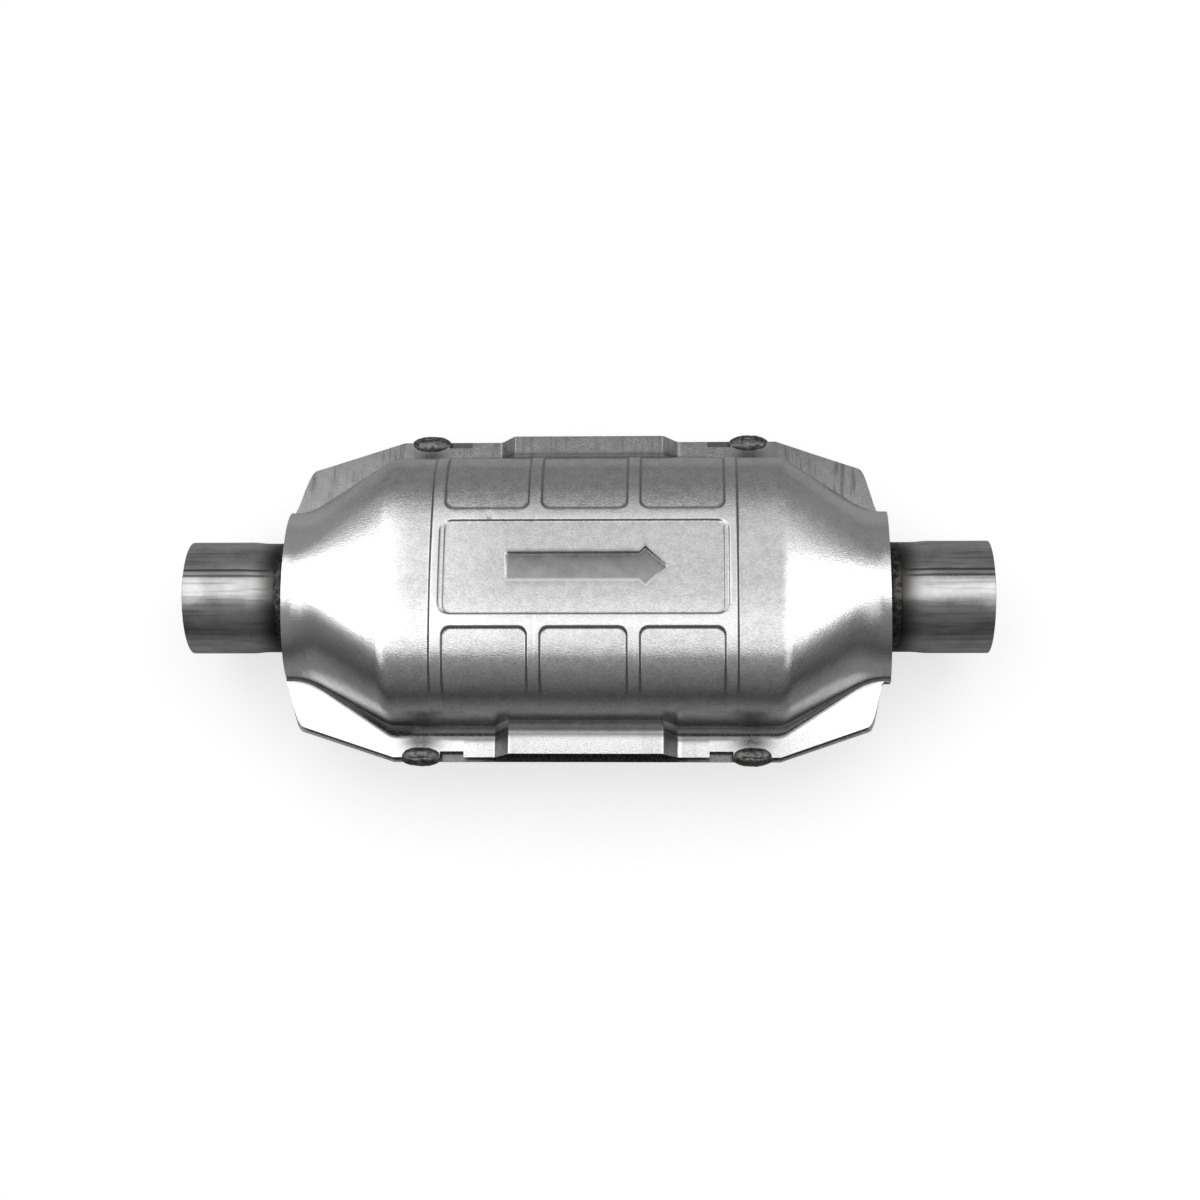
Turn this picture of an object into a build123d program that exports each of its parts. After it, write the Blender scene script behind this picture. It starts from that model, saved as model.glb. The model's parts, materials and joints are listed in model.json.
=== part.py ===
from build123d import *
import math
import os
from dataclasses import dataclass, replace

# Universal exhaust catalytic converter with a stamped clamshell heat shield.
# X is the exhaust axis, with the inlet at -X and the outlet at +X.
# Z points out of the upper shield's crown, and Y towards the left flange.
# The origin is on the exhaust axis, half way between the two pipe rims. All lengths are in millimetres.

# Whole converter, from pipe rim to pipe rim
overall_length = 406.4

# Sheet and tube walls
shield_sheet = 0.9
can_sheet = 1.5
pipe_wall = 1.6

# Heat shield stamping, measured on its outer faces
shield_half_width = 69.3
shield_crown_height = 54.0
shield_crown_radius = 190.0
crown_half_angle = math.radians(13.0)
wall_draft = math.radians(6.0)
shield_body_half = 98.0
shield_cone_length = 44.0
shield_neck_radius = 43.6
shield_neck_length = 11.0
shield_end_rake = 3.0
shield_fold_radius = 7.5
neck_fold_radius = 1.5
shield_blend = 8.0
blend_steps = 3

# Raised rib grid pressed into each shield
rib_height = 1.3
rib_slope = 1.5
rib_corner_radius = 4.0
rib_grid_margin = 22.0
outer_rib_width = 7.6
inner_rib_x = 24.2
inner_rib_width = 6.0
long_rib_y = 26.8
long_rib_width = 6.4
rib_foot_height = 10.0

# Flow arrow pressed into the upper crown
arrow_length = 76.9
arrow_shaft_width = 14.0
arrow_head_width = 18.0
arrow_head_length = 10.4
arrow_barb_length = 2.8
arrow_offset = 0.8
arrow_depth = 1.0
arrow_slope = 1.0

# Shield flanges, with the ears beside the cones
flange_width = 14.7
lower_flange_overhang = 1.5
ear_lead = 1.0
ear_width = 25.4
ear_corner_setback = 0.5
ear_corner_radius = 8.0

# Raised vent joggle in the middle of each upper flange
joggle_half_length = 37.5
joggle_ramp = 8.5
joggle_rise = 9.0

# Tack welds that join the shield flanges, and the notch beside each
tack_setback = 15.0
tack_half_length = 9.5
tack_radius = 5.2
tack_inward = 1.0
notch_length = 12.0
notch_depth = 3.0

# Inner can of two stamped halves
air_gap = 7.1
can_body_setback = 6.0
can_cone_length = 43.0
can_blend = 5.0
can_flange_cover = 4.0
can_ear_setback = 9.0
can_flange_stop = 6.0
seam_weld_leg = 1.4
seam_weld_round = 1.0

# Pipes and their ring welds
pipe_radius = 28.0
pipe_rim_radius = 28.6
pipe_rim_share = 0.65
pipe_swage_share = 0.22
pipe_slip = 0.2
pipe_gap = 4.0
pipe_overlap = 10.0
ring_weld_length = 6.5
ring_weld_crown = 0.35

# Ceramic bricks with their mats and edge seals
brick_length = 75.0
brick_gap = 18.0
mat_thickness = 4.5
seal_length = 5.0

# Heights and lengths that follow from the values above
flange_seat = can_sheet
rib_grid_half = shield_body_half - rib_grid_margin
tack_x = shield_body_half - tack_setback
tack_y = shield_half_width + flange_width - tack_inward
notch_x = tack_x - tack_half_length - notch_length / 2
shield_end_at_flange = shield_body_half + shield_cone_length + shield_neck_length
pipe_start = shield_end_at_flange + pipe_gap
can_end = pipe_start + pipe_overlap
can_flange_end = shield_end_at_flange - can_flange_stop
rim_x = overall_length / 2
pipe_length = rim_x - pipe_start


@dataclass(frozen=True)
class Stamping:
    """Outer form of one half shell: an oval body, a cone at each end and a half-round neck."""

    half_width: float
    crown_height: float
    crown_radius: float
    body_half: float
    cone_length: float
    neck_radius: float
    end: float
    blend: float

    def inset(self, depth):
        """Return the same form pressed inwards by a depth."""
        return replace(
            self,
            half_width=self.half_width - depth / math.cos(wall_draft),
            crown_height=self.crown_height - depth,
            crown_radius=self.crown_radius - depth,
            neck_radius=self.neck_radius - depth,
        )

    def section_at(self, share):
        """Return half width, height and crown radius, from the body at 0 to the neck at 1."""
        neck_width = self.neck_radius / math.cos(wall_draft)
        return (
            self.half_width + (neck_width - self.half_width) * share,
            self.crown_height + (self.neck_radius - self.crown_height) * share,
            self.crown_radius + (self.neck_radius - self.crown_radius) * share,
        )

    def stations(self):
        """Return (x, share) pairs from the middle outwards, with each corner of the cone eased."""
        ease = self.blend / self.cone_length
        cone_end = self.body_half + self.cone_length
        steps = [step / blend_steps for step in range(1, blend_steps + 1)]
        found = [(self.body_half - self.blend, 0.0)]
        for step in steps:
            found.append((self.body_half + self.blend * (2 * step - 1), ease * step**2))
        found.append((cone_end - self.blend, 1 - ease))
        for step in steps:
            found.append((cone_end + self.blend * (2 * step - 1), 1 - ease * (1 - step) ** 2))
        found.append((self.end, 1.0))
        return found


shield_form = Stamping(
    half_width=shield_half_width,
    crown_height=shield_crown_height,
    crown_radius=shield_crown_radius,
    body_half=shield_body_half,
    cone_length=shield_cone_length,
    neck_radius=shield_neck_radius,
    end=shield_end_at_flange,
    blend=shield_blend,
)

can_form = replace(
    shield_form.inset(shield_sheet + air_gap),
    body_half=shield_body_half - can_body_setback,
    cone_length=can_cone_length,
    neck_radius=pipe_radius - pipe_wall - pipe_slip,
    end=can_end,
    blend=can_blend,
)


def shoulder_points(half_width, height, crown_radius, draft):
    """Return the wall's top, the shoulder's middle and the crown's edge as (y, z) points."""
    lean = math.tan(draft)
    crown_y = crown_radius * math.sin(crown_half_angle)
    crown_z = height - crown_radius * (1 - math.cos(crown_half_angle))
    spread = math.cos(draft) - math.sin(crown_half_angle)
    spread += lean * (math.sin(draft) - math.cos(crown_half_angle))
    shoulder = (half_width - crown_y - crown_z * lean) / spread
    centre_y = crown_y - shoulder * math.sin(crown_half_angle)
    centre_z = crown_z - shoulder * math.cos(crown_half_angle)
    middle = (crown_half_angle + math.pi / 2 - draft) / 2
    wall_top = (centre_y + shoulder * math.cos(draft), centre_z + shoulder * math.sin(draft))
    bulge = (centre_y + shoulder * math.sin(middle), centre_z + shoulder * math.cos(middle))
    return wall_top, bulge, (crown_y, crown_z)


def crown_arcs(x, height, bulge, wall_top, crown_edge):
    """Return the shoulder, crown and shoulder arcs at x, from the right wall to the left one."""
    right = [Vector(x, y, z) for y, z in (wall_top, bulge, crown_edge)]
    left = [Vector(x, -y, z) for y, z in (crown_edge, bulge, wall_top)]
    crown = ThreePointArc(right[2], Vector(x, 0, height), left[0])
    return [ThreePointArc(*right), crown, ThreePointArc(*left)]


def half_oval(x, half_width, height, crown_radius, foot=0.0, draft=wall_draft):
    """Return the closed outline of one half shell at x: drafted walls, shoulders and a crown arc."""
    wall_top, bulge, crown_edge = shoulder_points(half_width, height, crown_radius, draft)
    foot_y = half_width - foot * math.tan(draft)
    right_foot = Vector(x, foot_y, foot)
    left_foot = Vector(x, -foot_y, foot)
    edges = [Line(left_foot, right_foot), Line(right_foot, Vector(x, *wall_top))]
    edges += crown_arcs(x, height, bulge, wall_top, crown_edge)
    return Wire(edges + [Line(Vector(x, -wall_top[0], wall_top[1]), left_foot)])


def folded_oval(x, half_width, height, crown_radius, base, foot, fold):
    """Return a half shell's outline whose walls fold outwards to a flange at the height of the foot."""
    wall_top, bulge, crown_edge = shoulder_points(half_width, height, crown_radius, wall_draft)
    tangent_z = foot + fold * (1 - math.sin(wall_draft))
    tangent_y = half_width - tangent_z * math.tan(wall_draft)
    toe_y = tangent_y + fold * math.cos(wall_draft)
    middle = math.pi / 4 - wall_draft / 2
    bend = (toe_y - fold * math.sin(middle), foot + fold * (1 - math.cos(middle)))
    points = [(toe_y, base), (toe_y, foot), bend, (tangent_y, tangent_z), wall_top]
    right = [Vector(x, y, z) for y, z in points]
    left = [Vector(x, -y, z) for y, z in points]
    edges = [Line(left[0], right[0]), Line(right[0], right[1])]
    edges += [ThreePointArc(*right[1:4]), Line(right[3], right[4])]
    edges += crown_arcs(x, height, bulge, wall_top, crown_edge)
    edges += [Line(left[4], left[3]), ThreePointArc(left[3], left[2], left[1])]
    edges.append(Line(left[1], left[0]))
    return Wire(edges)


def dome(form):
    """Return the solid inside one half shell, standing on the parting plane."""
    outward = form.stations()
    stations = [(-x, share) for x, share in reversed(outward)] + outward
    sections = [half_oval(x, *form.section_at(share)) for x, share in stations]
    return Solid.make_loft(sections, ruled=True)


def folded_dome(form, inset_depth, rise):
    """Return the solid inside one shield, with the folds to its flange, which is raised in the middle."""
    thickness = shield_sheet - inset_depth
    shift = joggle_slope_shift(rise, thickness)
    foot = flange_seat + thickness
    outward = [(x, share, 0.0) for x, share in form.stations()]
    if rise > 0:
        outward.insert(0, (joggle_half_length + joggle_ramp + shift, 0.0, 0.0))
        outward.insert(0, (joggle_half_length + shift, 0.0, rise))
    stations = [(-x, share, lift) for x, share, lift in reversed(outward)] + outward
    sections = []
    for x, share, lift in stations:
        fold = shield_fold_radius + (neck_fold_radius - shield_fold_radius) * share + inset_depth
        base = foot + lift - shield_sheet / 2 if thickness > 0 else 0.0
        sections.append(folded_oval(x, *form.section_at(share), base, foot + lift, fold))
    return Solid.make_loft(sections, ruled=True)


def raised_band(form, start, end):
    """Return a sloped band across the crown from start to end along X, that fades at the walls."""
    width, height, crown = form.section_at(0)
    low = (width, height, crown, rib_foot_height)
    high = (width, height + rib_height, crown, rib_foot_height)
    outlines = [
        half_oval(start, *low),
        half_oval(start + rib_slope, *high),
        half_oval(end - rib_slope, *high),
        half_oval(end, *low),
    ]
    return Solid.make_loft(outlines, ruled=True)


def wedge_along_x(half_length, outline):
    """Return a prism along X with a closed outline of (y, z) points."""
    corners = [Vector(-half_length, y, z) for y, z in outline]
    return Solid.extrude(Face(Wire.make_polygon(corners)), Vector(2 * half_length, 0, 0))


def rib_grid(form, inset_depth):
    """Return the raised ribs on a form: four across, two along, with the middle panel left clear."""
    narrowing = 2 * inset_depth * math.tan(math.atan2(rib_height, rib_slope) / 2)
    outer_width = outer_rib_width - narrowing
    inner_width = inner_rib_width - narrowing
    long_width = long_rib_width - narrowing
    outer_x = rib_grid_half - outer_rib_width / 2
    ends = outer_x + outer_width / 2
    surface = form.crown_height - form.crown_radius + math.sqrt(form.crown_radius**2 - long_rib_y**2)
    low, high = -rib_height, 2 * rib_height
    half_low = long_width / 2 - low * rib_slope / rib_height
    half_high = long_width / 2 - high * rib_slope / rib_height
    profile = [
        (long_rib_y - half_low, surface + low),
        (long_rib_y + half_low, surface + low),
        (long_rib_y + half_high, surface + high),
        (long_rib_y - half_high, surface + high),
    ]
    plateau = raised_band(form, -ends, ends)
    wedge = wedge_along_x(outer_x, profile)
    long_rib = plateau & wedge
    clear_panel = Box(overall_length, 2 * long_rib_y, 4 * form.crown_height)
    ribs = []
    for middle in (-outer_x, outer_x):
        ribs.append(raised_band(form, middle - outer_width / 2, middle + outer_width / 2))
    for middle in (-inner_rib_x, inner_rib_x):
        ribs.append(raised_band(form, middle - inner_width / 2, middle + inner_width / 2) - clear_panel)
    return ribs + [long_rib, mirror(long_rib, Plane.XZ)]


def panel_corner_edges(solid):
    """Return the inside corner edges of the panels between the ribs."""
    found = []
    for edge in solid.edges():
        reach = edge.bounding_box().size
        short = max(reach.X, reach.Y) < long_rib_width / 2
        beside_long_rib = abs(abs(edge.center().Y) - long_rib_y) < long_rib_width / 2
        tilted = min(reach.X, reach.Y, reach.Z) > rib_height / 10
        if short and beside_long_rib and tilted and edge.center().Z > 0:
            found.append(edge)
    return found


def arrow_outline(grow):
    """Return the face of the flow arrow, pointing along +X, with its edge grown outwards."""
    tail = -arrow_length / 2
    tip = arrow_length / 2
    head = tip - arrow_head_length
    half_shaft = arrow_shaft_width / 2
    half_head = arrow_head_width / 2
    upper = [(tail, half_shaft), (head - arrow_barb_length, half_shaft), (head, half_head), (tip, 0)]
    lower = [(x, -y) for x, y in reversed(upper[:-1])]
    face = Face(Wire.make_polygon([Vector(x + arrow_offset, y, 0) for x, y in upper + lower]))
    if grow > 0:
        face = offset(face, grow, kind=Kind.INTERSECTION).face()
    return face


def arrow_tool(form, inset_depth):
    """Return the sloped pocket that presses the arrow into a crown."""
    slope_shift = inset_depth * math.tan(math.atan2(arrow_depth, arrow_slope) / 2)
    floor_z = form.crown_height - arrow_depth
    top_z = form.crown_height + arrow_depth
    floor_face = Pos(0, 0, floor_z) * arrow_outline(slope_shift)
    top_face = Pos(0, 0, top_z) * arrow_outline(slope_shift + 2 * arrow_slope)
    return loft([floor_face, top_face], ruled=True)


def pressed_form(form, inset_depth, rise, with_arrow):
    """Return the folded dome of a shield with its ribs and, on the upper one, its arrow."""
    pressed = folded_dome(form, inset_depth, rise)
    for rib in rib_grid(form, inset_depth):
        pressed = pressed + rib
    pressed = pressed.fillet(rib_corner_radius, panel_corner_edges(pressed))
    if with_arrow:
        pressed = pressed - arrow_tool(form, inset_depth)
    return pressed


def flange_plan(half_width, spread):
    """Return the plan face of a shield flange, with an ear beside each cone."""
    straight = shield_body_half - ear_lead
    corner_x = shield_body_half + shield_cone_length - ear_corner_setback + spread / 2
    corner_y = shield_neck_radius + ear_width + spread
    quarter = [(straight, half_width), (corner_x, corner_y), (shield_end_at_flange, shield_neck_radius)]
    right = quarter + [(x, -y) for x, y in reversed(quarter)]
    points = right + [(-x, -y) for x, y in right]
    face = Face(Wire.make_polygon([Vector(x, y, 0) for x, y in points]))
    corners = [v for v in face.vertices() if abs(abs(v.Y) - corner_y) < ear_corner_radius / 2]
    return fillet(corners, ear_corner_radius).face()


def joggle_slope_shift(rise, thickness):
    """Return how far the ramp moves outwards on a face a thickness above the sheet's underside."""
    return thickness * math.tan(math.atan2(rise, joggle_ramp) / 2)


def flange_profile(rise):
    """Return the (x, z) lines under and over a flange, raised in the middle by a rise."""
    reach = shield_end_at_flange
    foot_x = joggle_half_length + joggle_ramp
    lean = joggle_slope_shift(rise, shield_sheet)
    high = flange_seat + rise
    under = [(-reach, flange_seat), (-foot_x, flange_seat), (-joggle_half_length, high)]
    under += [(-x, z) for x, z in reversed(under)]
    over = [(-reach, flange_seat), (-foot_x - lean, flange_seat), (-joggle_half_length - lean, high)]
    over = [(x, z + shield_sheet) for x, z in over]
    over += [(-x, z) for x, z in reversed(over)]
    return under, over


def prism_along_y(points, half_length):
    """Return a prism along Y with a closed outline of (x, z) points."""
    face = Face(Wire.make_polygon([Vector(x, -half_length, z) for x, z in points]))
    return Solid.extrude(face, Vector(0, 2 * half_length, 0))


def end_trims():
    """Return the two wedges that trim the shield ends to a slight rake."""
    lean = shield_end_rake / shield_neck_radius
    high = 2 * shield_neck_radius
    end = shield_end_at_flange
    beyond = end + flange_width
    wedge = [(end, 0), (beyond, 0), (beyond, high), (end - lean * high, high)]
    mirrored = [(-x, z) for x, z in wedge]
    return [prism_along_y(points, 2 * shield_half_width) for points in (wedge, mirrored)]


def heat_shield(half_width, spread, rise, with_arrow):
    """Return one stamped shield half: pressed dome, flange with ears and the open inside."""
    under, over = flange_profile(rise)
    plate = prism_along_y(under + list(reversed(over)), 2 * half_width)
    plan = Solid.extrude(flange_plan(half_width, spread), Vector(0, 0, shield_crown_height))
    flange = plate & plan
    shell = pressed_form(shield_form, 0.0, rise, with_arrow) + flange
    shell = shell - pressed_form(shield_form.inset(shield_sheet), shield_sheet, rise, with_arrow)
    for trim in end_trims():
        shell = shell - trim
    return shell


def upper_heat_shield():
    """Return the upper shield, with its arrow, vent joggles and weld notches."""
    half_width = shield_half_width + flange_width
    shield = heat_shield(half_width, 0.0, joggle_rise, True)
    for side_x in (-1, 1):
        for side_y in (-1, 1):
            centre = Pos(side_x * notch_x, side_y * half_width, flange_seat)
            shield = shield - centre * Box(notch_length, 2 * notch_depth, 4 * shield_sheet)
    return shield


def lower_heat_shield():
    """Return the lower shield, with a slightly wider flat flange and a plain middle panel."""
    half_width = shield_half_width + flange_width + lower_flange_overhang
    return mirror(heat_shield(half_width, lower_flange_overhang, 0.0, False), Plane.XY)


def can_flange_plan(grow=0.0):
    """Return the plan face of the can's seam flange, which narrows to the necks."""
    half_width = shield_half_width + flange_width - can_flange_cover + grow
    corner_x = shield_body_half + shield_cone_length - can_ear_setback
    corner_y = shield_neck_radius + ear_width - can_ear_setback + grow
    stop_x = can_flange_end
    stop_y = can_form.neck_radius + can_sheet + grow
    start_x = can_form.body_half + grow / 2
    quarter = [(start_x, half_width), (corner_x + grow / 2, corner_y), (stop_x, stop_y)]
    right = quarter + [(x, -y) for x, y in reversed(quarter)]
    points = right + [(-x, -y) for x, y in right]
    return Face(Wire.make_polygon([Vector(x, y, 0) for x, y in points]))


def can_half():
    """Return the upper half of the can, with its seam flange on the parting plane."""
    flange = Solid.extrude(can_flange_plan(), Vector(0, 0, can_sheet))
    return (dome(can_form) + flange) - dome(can_form.inset(can_sheet))


def seam_weld():
    """Return the weld bead along one long edge of the can's seam flange."""
    thickness = Vector(0, 0, 2 * can_sheet)
    outer = Pos(0, 0, -can_sheet) * Solid.extrude(can_flange_plan(seam_weld_leg), thickness)
    inner = Pos(0, 0, -can_sheet) * Solid.extrude(can_flange_plan(), thickness)
    reach = can_flange_end - seam_weld_leg
    low_y = can_form.neck_radius + 2 * can_sheet
    window = Pos(0, low_y + shield_half_width, 0) * Box(2 * reach, 2 * shield_half_width, 4 * can_sheet)
    bead = (outer - inner) & window
    half_width = shield_half_width + flange_width - can_flange_cover + seam_weld_leg
    rims = [edge for edge in bead.edges() if abs(edge.center().Y - half_width) < seam_weld_leg / 2]
    rims = [edge for edge in rims if edge.length > can_form.body_half]
    return bead.fillet(seam_weld_round, rims)


def full_oval(form, length, draft=wall_draft):
    """Return an oval block of a length, centred on the origin."""
    size = (form.half_width, form.crown_height, form.crown_radius)
    outline = Face(half_oval(-length / 2, *size, 0.0, draft))
    upper = Solid.extrude(outline, Vector(length, 0, 0))
    return upper + mirror(upper, Plane.XY)


def substrate(centre_x):
    """Return one ceramic brick."""
    form = can_form.inset(can_sheet + mat_thickness)
    return Pos(centre_x, 0, 0) * full_oval(form, brick_length, 0.0)


def wrap(centre_x, length):
    """Return a band of a length that fills the space between a brick and the can."""
    band = full_oval(can_form.inset(can_sheet), length)
    core = full_oval(can_form.inset(can_sheet + mat_thickness), 2 * length, 0.0)
    return Pos(centre_x, 0, 0) * (band - core)


def ring_about_x(outline):
    """Return the solid turned about the X axis from a closed profile wire."""
    return revolve(Face(outline), Axis.X, 360)


def outlet_pipe():
    """Return the outlet stub: a plain tube, sized slightly larger towards its rim."""
    swage = rim_x - pipe_length * pipe_rim_share
    swage_start = swage - pipe_length * pipe_swage_share
    outer = [
        (pipe_start, pipe_radius),
        (swage_start, pipe_radius),
        (swage, pipe_rim_radius),
        (rim_x, pipe_rim_radius),
    ]
    inner = [(x, radius - pipe_wall) for x, radius in reversed(outer)]
    return ring_about_x(Wire.make_polygon([Vector(x, 0, radius) for x, radius in outer + inner]))


def outlet_ring_weld():
    """Return the weld bead around the can's neck, against the inner end of the outlet pipe."""
    neck = can_form.neck_radius
    toe = Vector(pipe_start - ring_weld_length, 0, neck)
    top = Vector(pipe_start, 0, pipe_radius)
    root = Vector(pipe_start, 0, neck)
    crest = (toe + top) / 2 + Vector(-ring_weld_crown, 0, 2 * ring_weld_crown)
    return ring_about_x(Wire([ThreePointArc(toe, crest, top), Line(top, root), Line(root, toe)]))


def tack_weld(side_x, side_y):
    """Return one weld lump over the flange edges: half an ellipse turned about its long axis."""
    upper_half = Pos(0, tack_radius / 2) * Rectangle(2 * tack_half_length, tack_radius)
    outline = Ellipse(tack_half_length, tack_radius) & upper_half
    return Pos(side_x * tack_x, side_y * tack_y, 0) * revolve(outline, Axis.X, 360)


def seated(weld, neighbours):
    """Return a weld hollowed where it meets the sheets that it joins."""
    for neighbour in neighbours:
        weld = weld - neighbour
    return weld


def build_parts():
    """Return every sub-part by its name."""
    parts = {
        "upper_heat_shield": upper_heat_shield(),
        "lower_heat_shield": lower_heat_shield(),
        "can_upper_half": can_half(),
        "outlet_pipe": outlet_pipe(),
        "left_seam_weld": seam_weld(),
    }
    parts["can_lower_half"] = mirror(parts["can_upper_half"], Plane.XY)
    parts["inlet_pipe"] = mirror(parts["outlet_pipe"], Plane.YZ)
    parts["right_seam_weld"] = mirror(parts["left_seam_weld"], Plane.XZ)
    can = [parts["can_upper_half"], parts["can_lower_half"]]
    shields = [parts["upper_heat_shield"], parts["lower_heat_shield"]]
    parts["outlet_ring_weld"] = seated(outlet_ring_weld(), can)
    parts["inlet_ring_weld"] = mirror(parts["outlet_ring_weld"], Plane.YZ)
    brick_x = (brick_gap + brick_length) / 2
    seal_offset = (brick_length - seal_length) / 2
    for place, centre_x in (("front", -brick_x), ("rear", brick_x)):
        parts[place + "_substrate"] = substrate(centre_x)
        parts[place + "_mat"] = wrap(centre_x, brick_length - 2 * seal_length)
        parts[place + "_inlet_side_seal"] = wrap(centre_x - seal_offset, seal_length)
        parts[place + "_outlet_side_seal"] = wrap(centre_x + seal_offset, seal_length)
    for end, side_x in (("front", -1), ("rear", 1)):
        for side, side_y in (("left", 1), ("right", -1)):
            neighbours = shields + can + [parts[side + "_seam_weld"]]
            parts["tack_weld_" + end + "_" + side] = seated(tack_weld(side_x, side_y), neighbours)
    return parts


os.makedirs("parts", exist_ok=True)
for name, part in build_parts().items():
    export_step(part, "parts/" + name + ".step")
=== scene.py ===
import json
import logging
import math
from collections.abc import Callable, Iterator
from contextlib import contextmanager
from dataclasses import dataclass, field
from enum import Enum

import bmesh
import bpy
from mathutils import Matrix, Vector, noise

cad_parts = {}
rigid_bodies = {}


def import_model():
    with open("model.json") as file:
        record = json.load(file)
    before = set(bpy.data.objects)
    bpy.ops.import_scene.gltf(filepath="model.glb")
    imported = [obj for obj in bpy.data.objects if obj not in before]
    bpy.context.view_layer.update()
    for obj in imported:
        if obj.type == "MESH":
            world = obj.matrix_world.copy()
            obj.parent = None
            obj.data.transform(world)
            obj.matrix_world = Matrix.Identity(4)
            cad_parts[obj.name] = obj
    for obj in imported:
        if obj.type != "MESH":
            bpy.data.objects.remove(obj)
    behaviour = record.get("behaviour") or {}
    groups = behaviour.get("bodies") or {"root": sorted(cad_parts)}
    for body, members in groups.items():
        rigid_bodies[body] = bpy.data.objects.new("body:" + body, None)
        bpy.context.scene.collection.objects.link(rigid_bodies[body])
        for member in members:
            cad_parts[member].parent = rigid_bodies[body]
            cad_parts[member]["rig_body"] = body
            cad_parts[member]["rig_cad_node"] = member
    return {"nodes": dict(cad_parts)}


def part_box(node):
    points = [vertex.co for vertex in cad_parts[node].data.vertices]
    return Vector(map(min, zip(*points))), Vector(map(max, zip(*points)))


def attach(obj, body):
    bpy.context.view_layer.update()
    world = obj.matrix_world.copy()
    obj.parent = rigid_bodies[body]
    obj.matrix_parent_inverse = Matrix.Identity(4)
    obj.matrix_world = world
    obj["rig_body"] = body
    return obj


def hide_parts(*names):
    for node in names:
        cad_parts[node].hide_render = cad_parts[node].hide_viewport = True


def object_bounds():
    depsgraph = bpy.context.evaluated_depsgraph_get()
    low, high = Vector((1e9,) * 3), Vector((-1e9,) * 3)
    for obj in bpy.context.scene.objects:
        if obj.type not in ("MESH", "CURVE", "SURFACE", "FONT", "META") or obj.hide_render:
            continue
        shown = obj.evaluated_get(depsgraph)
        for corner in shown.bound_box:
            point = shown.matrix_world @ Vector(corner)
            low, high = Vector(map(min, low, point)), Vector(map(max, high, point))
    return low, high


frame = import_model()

CAD_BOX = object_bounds()
MM = 0.001
BODY = "root"
LOG = logging.getLogger("converter")
Socket = bpy.types.NodeSocket
Stops = list[tuple[float, float]]


class Side(Enum):
    """Which end of the converter a piece belongs to."""

    INLET = -1
    OUTLET = 1

    def ends(self, low: Vector, high: Vector) -> tuple[float, float]:
        """Return the inner and the outer end of a box along X."""
        return (high.x, low.x) if self is Side.INLET else (low.x, high.x)


class Half(Enum):
    """Which half of the clamshell a piece belongs to."""

    UPPER = 1
    LOWER = -1


def smooth(value: float) -> float:
    """Ease a value between 0 and 1.

    Args:
        value: Any number, held between 0 and 1 first.

    Returns:
        The eased value.
    """
    held = min(1.0, max(0.0, value))
    return held * held * (3.0 - 2.0 * held)


def grows(value: float, start: float, span: float) -> float:
    """Return 0 up to a start, easing to 1 over a span."""
    return smooth((value - start) / span)


def fades(value: float, end: float, span: float) -> float:
    """Return 1 until a span before an end, easing to 0 at the end."""
    return smooth((end - value) / span)


def peak(value: float, centre: float, width: float) -> float:
    """Return a bell curve that is 1 at its centre."""
    return math.exp(-(((value - centre) / width) ** 2))


def bend(value: float, soft: float = 0.3) -> float:
    """Rise straight from 0 to 1, with a rounded foot and top as a press leaves them.

    Args:
        value: Any number, held between 0 and 1 first.
        soft: Share of the way that each rounding takes.

    Returns:
        The height between 0 and 1.
    """
    held = min(1.0, max(0.0, value))
    if held < soft:
        return held * held / (2.0 * soft * (1.0 - soft))
    if held > 1.0 - soft:
        return 1.0 - (1.0 - held) ** 2 / (2.0 * soft * (1.0 - soft))
    return (held - soft / 2.0) / (1.0 - soft)


def deselect_all() -> None:
    """Leave edit mode and deselect every object."""
    if bpy.context.object and bpy.context.object.mode != "OBJECT":
        bpy.ops.object.mode_set(mode="OBJECT")
    bpy.ops.object.select_all(action="DESELECT")


def activate(piece: bpy.types.Object) -> None:
    """Make a piece the only selected and the active object.

    Args:
        piece: The object.
    """
    deselect_all()
    piece.select_set(True)
    bpy.context.view_layer.objects.active = piece


@contextmanager
def editing(piece: bpy.types.Object) -> Iterator[None]:
    """Hold a piece in edit mode with all of its mesh selected.

    Args:
        piece: The mesh object.

    Yields:
        Nothing, while the piece is in edit mode.
    """
    activate(piece)
    bpy.ops.object.mode_set(mode="EDIT")
    bpy.ops.mesh.select_all(action="SELECT")
    yield
    bpy.ops.object.mode_set(mode="OBJECT")


def apply_transform() -> None:
    """Write the active object's place, turn and scale into its mesh."""
    bpy.ops.object.transform_apply(location=True, rotation=True, scale=True)


def thicken(piece: bpy.types.Object, sheet: float, outward: Callable[[bpy.types.MeshPolygon], bool],
            probe: int) -> None:
    """Turn a skin's faces outwards and give it its sheet thickness on the inside.

    Args:
        piece: The skin.
        sheet: The thickness.
        outward: Says whether a face looks outwards.
        probe: The face that it is asked about.
    """
    with editing(piece):
        bpy.ops.mesh.normals_make_consistent(inside=False)
    if not outward(piece.data.polygons[probe]):
        piece.data.flip_normals()
    apply_modifier(piece, "SOLIDIFY", thickness=sheet, offset=-1.0)


def apply_modifier(piece: bpy.types.Object, kind: str, **settings: object) -> None:
    """Add a modifier to a piece and apply it at once.

    Args:
        piece: The object that is changed.
        kind: The modifier's type, such as BEVEL.
        **settings: Values set on the modifier.
    """
    activate(piece)
    modifier = piece.modifiers.new(kind.title(), kind)
    for name, value in settings.items():
        setattr(modifier, name, value)
    bpy.ops.object.modifier_apply(modifier=modifier.name)


def shade(piece: bpy.types.Object, angle: float = 35.0) -> None:
    """Shade a piece smooth, with creases over an angle in degrees."""
    activate(piece)
    bpy.ops.object.shade_smooth_by_angle(angle=math.radians(angle))


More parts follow.
